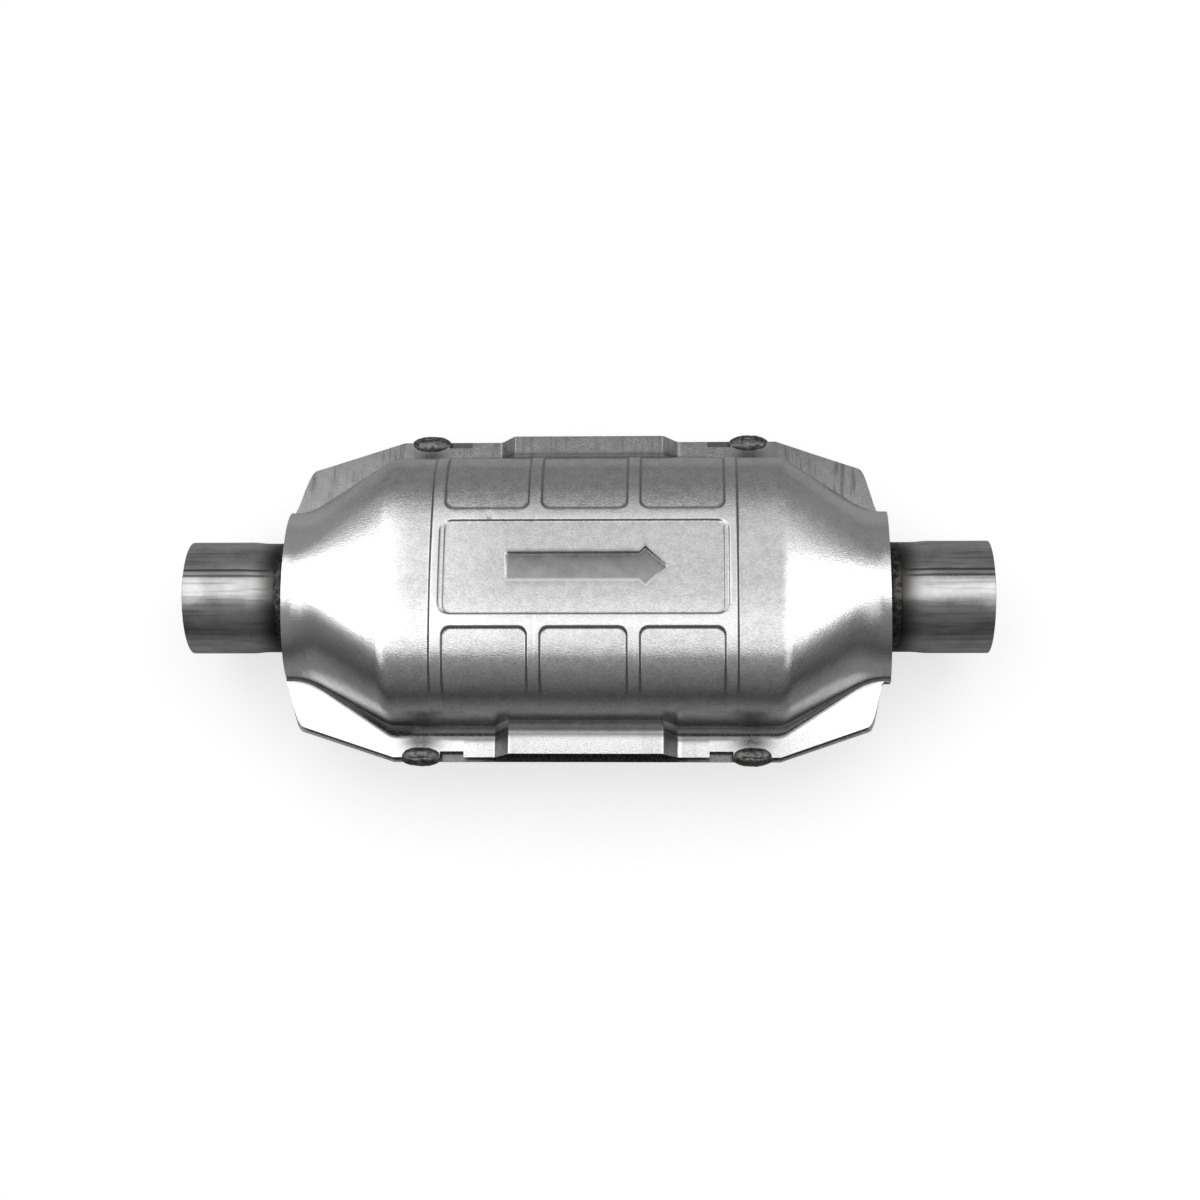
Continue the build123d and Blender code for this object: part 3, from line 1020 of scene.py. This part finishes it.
    def columns(self) -> list[tuple[str, float]]:
        """Return the stations from the flange's edge to the middle of the crown.

        Returns:
            Pairs of zone and place: a share of the flange, an angle of the fold, a share of the
            wall, an angle of the shoulder, or a share of the crown's half angle.
        """
        sizes = self.sizes
        turn = math.pi / 2 - sizes.draft
        across = [("flange", place) for place in (1.0, 0.8, 0.6, 0.4, 0.25, 0.15, 0.07)]
        across += [("fold", math.pi / 2 - turn * step / 12) for step in range(13)]
        across += [("wall", place) for place in (0.12, 0.35, 0.65)]
        across += [("shoulder", turn - (turn - sizes.crown_angle) * step / 11) for step in range(11)]
        crown = sizes.crown_radius * math.sin(sizes.crown_angle)
        places = [crown * step / 14 for step in range(15)]
        for edge, way in ((-1, 1), (1, -1)):
            start = sizes.long_rib_y + edge * sizes.long_rib / 2
            places += across_wall(start, way, sizes.rib_slope) + beside_wall(start, way)
        if self.arrow:
            places += [0.6 * MM * step for step in range(20)]
        kept = thin_out(sorted(places, reverse=True))
        kept[-1] = 0.0
        across += [("crown", math.asin(min(1.0, place / sizes.crown_radius)) / sizes.crown_angle) for place in kept]
        return across

    def fold_shade(self, point: Vector, place: float) -> float:
        """Return the painted shade in the fold at the flange's foot.

        Args:
            point: The point.
            place: Its angle in the fold.

        Returns:
            The painted shade from 0 to 1.
        """
        wear_and_light, draft = self.wear_and_light, self.sizes.draft
        down = (place - draft) / (math.pi / 2 - draft)
        # Painted shade in the fold's crease, weaker where the joggle raises the flange, and a toe of painted shade
        # where it meets the flange.
        level = 1.0 - wear_and_light.raised_fold_share * self.rise_at(point.x) / self.joggle_rise
        soot_and_shade = max(wear_and_light.fold_shade * level * peak(down, 0.80, 0.14), wear_and_light.toe_shade * grows(down, 0.7, 0.1))
        # More painted shade over one stretch of the fold on the -Y side.
        if point.y < 0.0:
            extra_dark = min(1.0, 2.2 * peak(point.x, wear_and_light.dark_fold_x, wear_and_light.dark_fold_reach))
            soot_and_shade = max(soot_and_shade, wear_and_light.fold_shade * extra_dark * peak(down, 0.74, 0.30))
        return soot_and_shade

    def flange_shade(self, point: Vector, place: float) -> float:
        """Return the painted shade on the flange.

        Args:
            point: The point.
            place: Its share of the way from the fold to the edge.

        Returns:
            The painted shade from 0 to 1.
        """
        wear_and_light, out = self.wear_and_light, abs(point.x)
        # Painted shade beside the fold, beyond the ears, and over the lower half's flange and its slot.
        soot_and_shade = wear_and_light.flange_shade * (1.0 - smooth(place / 0.34)) * fades(out, 95.0 * MM, 8.0 * MM)
        if out > self.ear_places(point.x, 1 if point.y > 0.0 else -1)[1]:
            soot_and_shade = wear_and_light.hidden_shade
        if self.half is Half.LOWER:
            soot_and_shade = max(soot_and_shade, wear_and_light.lower_shade + wear_and_light.slot_shade * fades(out, 55.0 * MM, 8.0 * MM))
        return soot_and_shade

    def relief_light_and_shade(self, point: Vector, low: float) -> tuple[float, float]:
        """Return the painted shade on the ribs' steep walls and the painted highlight on their tops and over the inlet
        end.

        Args:
            point: The point.
            low: How much of the painted shade is left this far down the shoulder.

        Returns:
            The painted shade and the painted highlight, each from 0 to 1.
        """
        wear_and_light, x, y = self.wear_and_light, point.x, point.y
        # Painted highlight on rib tops, stronger where the crown is lit, and over the body at the inlet end; painted
        # shade on the ribs' steep walls.
        lit = fades(abs(y), 46.0 * MM, 20.0 * MM)
        highlight = (wear_and_light.rib_highlight + wear_and_light.lit_rib_highlight * lit) * smooth(1.6 * self.rib_share(x, y) - 0.5)
        inlet_end = grows(-x, 85.0 * MM, 14.0 * MM) * fades(abs(y), 44.0 * MM, 16.0 * MM)
        steep = abs(self.rib_share(x + wear_and_light.corner_reach, y) - self.rib_share(x - wear_and_light.corner_reach, y))
        return wear_and_light.corner_shade * low * smooth(steep / 0.45), max(highlight, wear_and_light.inlet_highlight * inlet_end)

    def marks(self, point: Vector, zone: str, place: float) -> tuple[float, float, float]:
        """Return the soot and painted shade, the draw marks and painted shade, and the painted highlight at a point.

        Args:
            point: The point on the outer face.
            zone: The zone that it lies in.
            place: Its place in the zone.

        Returns:
            Three shares from 0 to 1.
        """
        wear_and_light = self.wear_and_light
        out = abs(point.x)
        soot_and_shade = wear_and_light.tack_soot_at(point)
        drawn_and_shade = painted_highlight = 0.0
        if zone == "fold":
            soot_and_shade = max(soot_and_shade, self.fold_shade(point, place))
        elif zone == "flange":
            soot_and_shade = max(soot_and_shade, self.flange_shade(point, place))
        else:
            # Painted highlight on the cones, fading down their sides.
            painted_highlight = wear_and_light.cone_highlight * grows(out, 96.0 * MM, 14.0 * MM) * fades(abs(point.y), 55.0 * MM, 20.0 * MM)
        # The upper flange is painted darker as painted shade besides its draw marks; the lower flange gets a painted
        # highlight.
        if zone in ("flange", "fold") and point.y > 0.0:
            drawn_and_shade = wear_and_light.flange_marks_and_shade + wear_and_light.ear_marks_and_shade * grows(out, 88.0 * MM, 12.0 * MM)
        elif zone == "flange":
            painted_highlight = wear_and_light.flange_highlight
            drawn_and_shade = wear_and_light.joggle_marks * grows(out, 24.0 * MM, 8.0 * MM) * fades(out, 60.0 * MM, 8.0 * MM)
        if zone in ("crown", "shoulder"):
            low = fades(place, math.radians(76.0), math.radians(26.0)) if zone == "shoulder" else 1.0
            relief_shade, highlight = self.relief_light_and_shade(point, low)
            soot_and_shade, painted_highlight = max(soot_and_shade, relief_shade), max(painted_highlight, highlight)
        if self.arrow and zone == "crown":
            arrow_shade, arrow_highlight = self.arrow.tones_at(point.x, point.y)
            soot_and_shade, painted_highlight = max(soot_and_shade, arrow_shade), max(painted_highlight, arrow_highlight)
        return soot_and_shade, drawn_and_shade, painted_highlight

    def point(self, x: float, zone: str, place: float, side: int) -> Vector:
        """Return the point of the pressed sheet for one row and one station.

        Args:
            x: The row's place along the converter.
            zone: The station's zone.
            place: Its place in the zone.
            side: 1 on the left and -1 on the right.

        Returns:
            The point on the sheet's outer face.
        """
        sizes = self.sizes
        share = self.share_at(x)
        neck_width = sizes.neck_radius / math.cos(sizes.draft)
        width = sizes.half_width + (neck_width - sizes.half_width) * share
        height = sizes.crown_height + (sizes.neck_radius - sizes.crown_height) * share
        crown = sizes.crown_radius + (sizes.neck_radius - sizes.crown_radius) * share
        lean = math.tan(sizes.draft)
        edge_y = crown * math.sin(sizes.crown_angle)
        edge_z = height - crown * (1.0 - math.cos(sizes.crown_angle))
        spread = math.cos(sizes.draft) - math.sin(sizes.crown_angle)
        spread += lean * (math.sin(sizes.draft) - math.cos(sizes.crown_angle))
        shoulder = (width - edge_y - edge_z * lean) / spread
        centre_y = edge_y - shoulder * math.sin(sizes.crown_angle)
        centre_z = edge_z - shoulder * math.cos(sizes.crown_angle)
        top = sizes.seat + sizes.sheet + self.rise_at(x)
        fold = sizes.fold + (sizes.neck_fold - sizes.fold) * share
        fold_y = width - (top + fold * (1.0 - math.sin(sizes.draft))) * lean + fold * math.cos(sizes.draft)
        if zone == "flange":
            edge = max(self.flange_edge(x, side), fold_y + sizes.least_flange)
            y, z = fold_y + (edge - fold_y) * place, top
        elif zone == "fold":
            y = fold_y - fold * math.cos(place)
            z = top + fold - fold * math.sin(place)
        elif zone == "wall":
            low_z = top + fold - fold * math.sin(sizes.draft)
            high_z = centre_z + shoulder * math.sin(sizes.draft)
            z = low_z + (high_z - low_z) * place
            y = width - z * lean
        elif zone == "shoulder":
            y = centre_y + shoulder * math.sin(place)
            z = centre_z + shoulder * math.cos(place)
            z += sizes.rib_height * fades(place, sizes.rib_end, sizes.rib_run_out) * self.rib_share(x, y)
        else:
            y = crown * math.sin(place * sizes.crown_angle)
            z = height - crown + crown * math.cos(place * sizes.crown_angle)
            z += sizes.rib_height * self.rib_share(x, y)
        if zone == "crown" and self.arrow:
            z -= self.arrow.depth_at(x, side * y)
            dent = math.hypot(x - self.nick[0], 1.4 * (side * y - self.nick[1])) / self.nick[2]
            z -= self.nick_depth * smooth(1.0 - dent)
        out = abs(x) - sizes.body_half - sizes.cone_length
        if out > 0.0:
            room = sizes.end - sizes.body_half - sizes.cone_length
            x = math.copysign(abs(x) - sizes.rake * z / sizes.neck_radius * out / room, x)
        return Vector((x, side * y, z * self.half.value))

    def build(self) -> bpy.types.Object:
        """Return the pressed shield half."""
        rows = self.rows()
        stations = self.columns()
        columns = [(zone, place, 1) for zone, place in stations]
        columns += [(zone, place, -1) for zone, place in reversed(stations[:-1])]
        deselect_all()
        bpy.ops.mesh.primitive_grid_add(x_subdivisions=len(columns) - 1, y_subdivisions=len(rows) - 1, size=1.0)
        piece = bpy.context.object
        mesh = piece.data
        layers = [mesh.attributes.new(name, "FLOAT", "POINT") for name in ("soot_and_shade", "drawn_and_shade", "painted_highlight")]
        for index, vertex in enumerate(mesh.vertices):
            zone, place, side = columns[index % len(columns)]
            vertex.co = self.point(rows[index // len(columns)], zone, place, side)
            for layer, value in zip(layers, self.marks(vertex.co, zone, place)):
                layer.data[index].value = value
        mesh.update()
        thicken(piece, self.sizes.sheet, lambda face: face.normal.z * self.half.value >= 0.0, len(mesh.polygons) // 2)
        shade(piece, 40.0)
        settle(piece, self.half.name.lower() + "_shield_sheet", self.finish)
        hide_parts("upper_heat_shield" if self.half is Half.UPPER else "lower_heat_shield")
        return piece


@dataclass
class Stub:
    """One pipe stub, with a sized rim."""

    side: Side
    finish: bpy.types.Material
    wall: float = 1.6 * MM
    radius: float = 28.0 * MM
    rim_radius: float = 28.6 * MM
    rim_length: float = 30.0 * MM
    swage: float = 10.0 * MM
    swage_step: float = 0.1 * MM
    edge_bevel: float = 0.35 * MM
    facets: int = 128

    def build(self) -> bpy.types.Object:
        """Return the stub, turned from a ring that is extruded along the axis."""
        node = "inlet_pipe" if self.side is Side.INLET else "outlet_pipe"
        low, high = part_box(node)
        start, rim = self.side.ends(low, high)
        stops = [(start, self.radius)]
        stops += [(rim - self.side.value * back, radius) for back, radius in (
            (self.rim_length + self.swage, self.radius),
            (self.rim_length + 0.7 * self.swage, self.radius + self.swage_step),
            (self.rim_length + 0.3 * self.swage, self.rim_radius - self.swage_step),
            (self.rim_length, self.rim_radius),
            (0.5 * self.rim_length, self.rim_radius),
            (0.0, self.rim_radius),
        )]
        deselect_all()
        bpy.ops.mesh.primitive_circle_add(vertices=self.facets, radius=1.0, rotation=(0.0, math.pi / 2, 0.0))
        piece = bpy.context.object
        apply_transform()
        with editing(piece):
            x, radius = stops[0]
            bpy.ops.transform.resize(value=(1.0, radius, radius))
            bpy.ops.transform.translate(value=(x, 0.0, 0.0))
            for next_x, next_radius in stops[1:]:
                bpy.ops.mesh.extrude_edges_move(TRANSFORM_OT_translate={"value": (next_x - x, 0.0, 0.0)})
                ratio = next_radius / radius
                bpy.ops.transform.resize(value=(1.0, ratio, ratio), center_override=(next_x, 0.0, 0.0))
                x, radius = next_x, next_radius
        thicken(piece, self.wall, lambda face: face.normal.yz.dot(face.center.yz) >= 0.0, 0)
        apply_modifier(piece, "BEVEL", width=self.edge_bevel, segments=2, limit_method="ANGLE",
                       angle_limit=math.radians(50))
        shade(piece)
        settle(piece, node.replace("_pipe", "_stub"), self.finish)
        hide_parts(node)
        return piece


@dataclass
class RingWeld:
    """The weld bead around one pipe, with overlapping ripples."""

    side: Side
    finish: bpy.types.Material
    neck: float = 26.2 * MM
    pipe: float = 28.0 * MM
    ripples: int = 34
    facets: int = 256
    rounds: int = 20
    ripple_height: float = 0.25 * MM
    ripple_sweep: float = 2.6
    bulge: float = 1.3 * MM
    root: float = 0.5 * MM
    wander: float = 0.35 * MM

    def build(self) -> bpy.types.Object:
        """Return the bead, shaped from a torus."""
        node = "inlet_ring_weld" if self.side is Side.INLET else "outlet_ring_weld"
        low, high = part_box(node)
        way = self.side.value
        toe, top = self.side.ends(low, high)
        crest = high.z
        deselect_all()
        bpy.ops.mesh.primitive_torus_add(
            major_segments=self.facets, minor_segments=self.rounds, major_radius=1.0, minor_radius=0.1,
            rotation=(0.0, math.pi / 2, 0.0))
        piece = bpy.context.object
        apply_transform()
        for vertex in piece.data.vertices:
            angle = math.atan2(vertex.co.z, vertex.co.y)
            turn = math.atan2(math.hypot(vertex.co.y, vertex.co.z) - 1.0, vertex.co.x * way)
            share = 0.5 + 0.5 * math.cos(turn)
            over = max(0.0, math.sin(turn))
            wander = self.wander * noise.noise(Vector((3.0 * math.cos(angle), 3.0 * math.sin(angle), way)))
            phase = self.ripples * angle + self.ripple_sweep * (share - 0.4) ** 2 * way
            ripple = self.ripple_height * (0.5 + 0.5 * math.sin(phase)) * over
            base = self.neck + (self.pipe - self.neck) * share
            bulge = max(0.0, crest - self.ripple_height - base) * over**0.7
            radius = base + min(bulge, self.bulge * over) + ripple - self.root * max(0.0, -math.sin(turn))
            radius = min(radius, crest)
            x = toe + (top - toe) * share + wander * over * (1.0 - share) * way
            x = min(max(x, min(toe, top)), max(toe, top))
            vertex.co = Vector((x, radius * math.cos(angle), radius * math.sin(angle)))
        shade(piece, 60.0)
        settle(piece, node.replace("ring_weld", "ring_bead"), self.finish)
        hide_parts(node)
        return piece


@dataclass
class TackWeld:
    """One weld lump over the flange edges."""

    node: str
    finish: bpy.types.Material
    turn: float
    ripples: int = 7
    fullness: float = 2.2
    lengthening: float = 1.1
    ripple_share: float = 0.012
    lump_share: float = 0.030
    groove_share: float = 0.08
    wander_share: float = 0.05

    def build(self) -> bpy.types.Object:
        """Return the lump, shaped from a sphere with ripples along it."""
        low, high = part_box(self.node)
        centre = (low + high) / 2
        size = (high - low) / 2
        outer = math.copysign(1.0, centre.y)
        deselect_all()
        bpy.ops.mesh.primitive_uv_sphere_add(segments=96, ring_count=64, radius=1.0, rotation=(0.0, math.pi / 2, 0.0))
        piece = bpy.context.object
        apply_transform()
        for vertex in piece.data.vertices:
            unit = vertex.co.copy()
            fuller = sum(abs(part) ** self.fullness for part in unit) ** (-1.0 / self.fullness)
            bow = unit.x + 0.20 * unit.y * unit.y
            ripple = 1.0 - self.ripple_share * (1.0 - math.sin(bow * math.pi * self.ripples + self.turn))
            lumps = 1.0 + self.lump_share * (noise.noise(unit * 2.1 + Vector((self.turn, 0.0, 0.0))) - 1.0)
            line = 0.36 * outer + 0.22 * noise.noise(Vector((unit.x * 3.0, self.turn, 0.0)))
            groove = self.groove_share * peak(unit.y, line, 0.09) * fades(abs(unit.x), 0.60, 0.30)
            swell = fuller * ripple * lumps * (1.0 - groove)
            wander = self.wander_share * noise.noise(Vector((unit.x * 2.6, 0.0, 3.0 + self.turn)))
            along = self.lengthening * unit.x * fuller
            across = unit.y * swell + wander * (1.0 - unit.x * unit.x)
            vertex.co = centre + Vector((along * size.x, across * size.y, unit.z * swell * size.z))
        shade(piece, 60.0)
        settle(piece, self.node.replace("tack_weld", "tack_lump"), self.finish)
        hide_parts(self.node)
        return piece


@dataclass
class Honeycomb:
    """The open cells of one brick's outer face, set into the block."""

    side: Side
    finish: bpy.types.Material
    pitch: float = 1.27 * MM
    wall: float = 0.17 * MM
    depth: float = 4.0 * MM
    reach: float = 36.0 * MM
    weld_distance: float = 0.02 * MM

    def build(self) -> bpy.types.Object:
        """Return the brick: a merged copy of its block with cells cut into the face that shows."""
        node = "front_substrate" if self.side is Side.INLET else "rear_substrate"
        low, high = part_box(node)
        way = self.side.value
        deselect_all()
        piece = frame["nodes"][node].copy()
        piece.data = frame["nodes"][node].data.copy()
        piece.parent = None
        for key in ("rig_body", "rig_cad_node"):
            if key in piece:
                del piece[key]
        bpy.context.scene.collection.objects.link(piece)
        with editing(piece):
            bpy.ops.mesh.remove_doubles(threshold=self.weld_distance)
        cells = self._cells(self.side.ends(low, high)[1] + way * self.weld_distance, way)
        activate(piece)
        cells.select_set(True)
        bpy.ops.object.join()
        shade(piece, 30.0)
        settle(piece, node.replace("substrate", "brick"), self.finish)
        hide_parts(node)
        return piece

    def _cells(self, face_x: float, way: int) -> bpy.types.Object:
        """Return the cell walls over the middle of the face.

        Args:
            face_x: Where the face lies.
            way: 1 if the face looks along +X, else -1.

        Returns:
            A mesh of open square cells.
        """
        count = 2 * int(self.reach / self.pitch) + 1
        deselect_all()
        bpy.ops.mesh.primitive_grid_add(x_subdivisions=count, y_subdivisions=count, size=count * self.pitch)
        cells = bpy.context.object
        mesh = bmesh.new()
        mesh.from_mesh(cells.data)
        far = [face for face in mesh.faces if face.calc_center_median().length > self.reach]
        bmesh.ops.delete(mesh, geom=far, context="FACES")
        mesh.to_mesh(cells.data)
        mesh.free()
        with editing(cells):
            bpy.ops.mesh.inset(thickness=self.wall / 2, depth=0.0, use_individual=True)
            bpy.ops.mesh.extrude_region_move(TRANSFORM_OT_translate={"value": (0.0, 0.0, -self.depth)})
        cells.data.transform(Matrix.Rotation(math.radians(90.0) * way, 4, "Y"))
        cells.data.transform(Matrix.Translation((face_x, 0.0, 0.0)))
        return cells


@dataclass(frozen=True)
class SoftBox:
    """A flat soft light that looks straight down."""

    name: str
    span_x: tuple[float, float]
    span_y: tuple[float, float]
    radiance: float

    def build(self, height: float) -> bpy.types.Object:
        """Hang the light.

        Args:
            height: How high it hangs.

        Returns:
            The light, which the camera doesn't see.
        """
        data = bpy.data.lights.new(self.name, "AREA")
        data.shape = "RECTANGLE"
        data.size = self.span_x[1] - self.span_x[0]
        data.size_y = self.span_y[1] - self.span_y[0]
        data.energy = self.radiance * math.pi * data.size * data.size_y
        lamp = bpy.data.objects.new(self.name, data)
        lamp.location = (sum(self.span_x) / 2, sum(self.span_y) / 2, height)
        lamp.visible_camera = False
        bpy.context.scene.collection.objects.link(lamp)
        return lamp


@dataclass(frozen=True)
class Studio:
    """The floor, lights and camera around the converter."""

    eye: tuple[float, float, float] = (0.044, -0.288, 0.967)
    right: tuple[float, float, float] = (0.9993, 0.0092, -0.0365)
    back: tuple[float, float, float] = (0.0376, -0.2840, 0.9581)
    focal_share: float = 1970.0 / 1200.0
    sensor: float = 36.0
    floor_half: float = 6.0
    floor_tone: float = 0.62
    floor_glow: float = 0.65
    far_mirrored: float = 0.50
    backdrop: float = 0.92
    far_sky: float = 0.27
    sheen_height: float = 0.16
    sheen_gap: float = 2.0 * MM
    fill_height: float = 1.5
    fill: SoftBox = SoftBox("soft_fill", (-1.1, 1.1), (-0.9, 1.3), 1.0)
    sheens: tuple[SoftBox, ...] = (
        SoftBox("sheen_middle", (-0.18, 0.18), (-0.065, 0.116), 0.60),
        SoftBox("sheen_inlet_side", (-0.32, -0.18), (-0.045, 0.065), 0.75),
        SoftBox("sheen_outlet_side", (0.18, 0.32), (-0.045, 0.060), 0.75),
        SoftBox("sheen_inlet", (-0.18, -0.06), (-0.065, 0.116), 0.25),
        SoftBox("sheen_inlet_end", (-0.32, -0.11), (-0.050, 0.100), 0.40),
        SoftBox("sheen_outlet_end", (0.13, 0.32), (-0.050, 0.060), 0.55),
        SoftBox("sheen_near", (-0.18, 0.18), (-0.065, -0.010), 0.40),
    )

    def build_camera(self) -> None:
        """Make the camera at the photograph's place and angle."""
        back = Vector(self.back).normalized()
        right = (Vector(self.right) - Vector(self.right).dot(back) * back).normalized()
        turn = Matrix((right, back.cross(right), back)).transposed().to_4x4()
        data = bpy.data.cameras.new("camera")
        data.sensor_width = self.sensor
        data.lens = self.focal_share * self.sensor
        data.clip_start, data.clip_end = 0.01, 50.0
        camera = bpy.data.objects.new("camera", data)
        camera.matrix_world = Matrix.Translation(self.eye) @ turn
        bpy.context.scene.collection.objects.link(camera)
        bpy.context.scene.camera = camera

    def build_floor(self) -> None:
        """Make the pale floor under the lower shield; the tone that metal mirrors of it is painted shade, darker on
        its near side.
        """
        deselect_all()
        bpy.ops.mesh.primitive_plane_add(size=2 * self.floor_half, location=(0.0, 0.0, CAD_BOX[0].z))
        floor = bpy.context.object
        floor.name = "floor"
        material, board, shader, place = new_material("pale_floor")
        path = board.add("LightPath").outputs
        y = board.axes(place)["Y"]
        # Painted reflection: metal sees this floor darker than it is, down to 0.12 far out on the near side.
        far_side = board.between(y, start=-0.05, stop=0.10)
        near_side = board.ramp(board.times(y, -1.0), [(0.10, 0.42), (0.30, 0.22), (0.80, 0.12)])
        mirrored_shade = board.mix(far_side, near_side, grey(self.far_mirrored))
        board.feed(shader, {
            "Base Color": board.mix(path["Is Glossy Ray"], grey(self.floor_tone), mirrored_shade),
            "Roughness": 0.9,
            "Specular IOR Level": 0.1,
            "Emission Color": board.mix(path["Is Camera Ray"], grey(0.0), grey(self.floor_glow)),
            "Emission Strength": 1.0,
        })
        floor.data.materials.append(material)

    def build_lights(self) -> None:
        """Hang the soft boxes over the object, at heights that differ a little so that they add up."""
        for index, sheen in enumerate(self.sheens):
            sheen.build(self.sheen_height + index * self.sheen_gap).visible_diffuse = False
        self.fill.build(self.fill_height).visible_glossy = False

    def build_surround(self) -> None:
        """Set a dim surround, with a bright patch at each end that only the metal sees."""
        world = bpy.data.worlds.new("surround")
        bpy.context.scene.world = world
        world.use_nodes = True
        board = NodeBoard(world.node_tree)
        path = board.add("LightPath").outputs
        way = board.axes(board.add("TexCoord").outputs["Generated"])
        near = board.ramp(way["Z"], [(0.0, 0.09), (0.28, 0.14), (0.54, 0.20), (0.76, 0.26), (0.92, 0.36)])
        far_share = board.between(way["Y"], start=-0.25, stop=0.35, ease="SMOOTHSTEP")
        around = board.mix(far_share, near, grey(self.far_sky))
        slant = board.math("ABSOLUTE", way["X"])
        ends = board.ramp(slant, [(0.34, 0.0), (0.42, 1.0), (0.64, 1.0), (0.70, 0.0)])
        across = board.between(way["Y"], start=-1.0)
        inlet_band = board.ramp(across, [(0.265, 0.0), (0.32, 1.0), (0.725, 1.0), (0.785, 0.0)])
        outlet_band = board.ramp(across, [(0.215, 0.0), (0.27, 1.0), (0.60, 1.0), (0.80, 0.0)])
        outlet = board.math("GREATER_THAN", way["X"], 0.0)
        inlet = board.math("SUBTRACT", 1.0, outlet)
        band = board.plus(board.times(inlet, inlet_band), board.times(outlet, outlet_band))
        patch = board.times(board.times(ends, band), path["Is Glossy Ray"])
        around = board.mix(patch, around, board.between(way["X"], 1.25, 0.95, -0.3, 0.3))
        tone = board.mix(path["Is Camera Ray"], around, grey(self.backdrop))
        board.feed(world.node_tree.nodes["Background"], {"Color": tone, "Strength": 1.0})

    def build(self) -> None:
        """Set up the whole studio."""
        self.build_camera()
        self.build_floor()
        self.build_lights()
        self.build_surround()
        bpy.context.scene.view_settings.view_transform = "Standard"


@dataclass
class Converter:
    """The whole converter: its finishes and its dressed pieces."""

    patterns: Patterns = field(default_factory=Patterns)
    weld_x: float = 157.0 * MM

    def dress(self, node: str, material: bpy.types.Material) -> None:
        """Give a construction node its finish.

        Args:
            node: The node's name.
            material: Its finish.
        """
        piece = frame["nodes"][node]
        piece.data.materials.clear()
        piece.data.materials.append(material)
        LOG.info("dressed %s", node)

    def build(self) -> None:
        """Build every piece and dress every node."""
        # This sheet finish carries the shields' painted shade and painted highlights through their mesh attributes.
        sheet = SheetFinish("aluminised_sheet_painted_light", 0.79, 0.49, 0.18, 0.03).build(self.patterns)
        # The can's dark tone is partly painted shade, for the gaps between the shield flanges where it shows.
        can = SheetFinish("can_sheet_and_shade", 0.30, 0.22, 0.34, 0.05).build(self.patterns)
        weld = WeldFinish().build(self.patterns)
        # The ring bead's very dark tone is partly oxidised weld metal and partly painted shade at the shield's mouth.
        ring_weld_and_shade = WeldFinish("ring_weld_metal_and_shade", 0.11, 0.03).build(self.patterns)
        brick = MattFinish("washcoated_ceramic", (0.62, 0.55, 0.45)).build(self.patterns)
        mat = MattFinish("fibre_mat", (0.80, 0.78, 0.70)).build(self.patterns)
        wire = SheetFinish("knitted_wire", 0.45, 0.25, 0.5, 0.1, 900.0).build(self.patterns)
        made = [
            Shield(Half.UPPER, sheet, arrow=ArrowSizes()).build(),
            Shield(Half.LOWER, sheet, flange_half=85.5 * MM, spread=1.5 * MM).build(),
        ]
        for side in Side:
            name = "tube_" + side.name.lower()
            tube = TubeFinish(name, side.value * self.weld_x, side.value).build(self.patterns)
            made += [Stub(side, tube).build(), RingWeld(side, ring_weld_and_shade).build(), Honeycomb(side, brick).build()]
        for index, place in enumerate(("front_left", "front_right", "rear_left", "rear_right")):
            made.append(TackWeld("tack_weld_" + place, weld, 0.9 + 1.7 * index).build())
        for piece in made:
            LOG.info("built %s with %d faces", piece.name, len(piece.data.polygons))
        for node in ("can_upper_half", "can_lower_half"):
            self.dress(node, can)
        for node in ("left_seam_weld", "right_seam_weld"):
            self.dress(node, weld)
        for place in ("front", "rear"):
            self.dress(place + "_mat", mat)
            self.dress(place + "_inlet_side_seal", wire)
            self.dress(place + "_outlet_side_seal", wire)


def main() -> None:
    """Build the converter, then the studio around it."""
    logging.basicConfig(level=logging.INFO, format="%(name)s %(message)s")
    Converter().build()
    Studio().build()


if __name__ == "__main__":
    main()
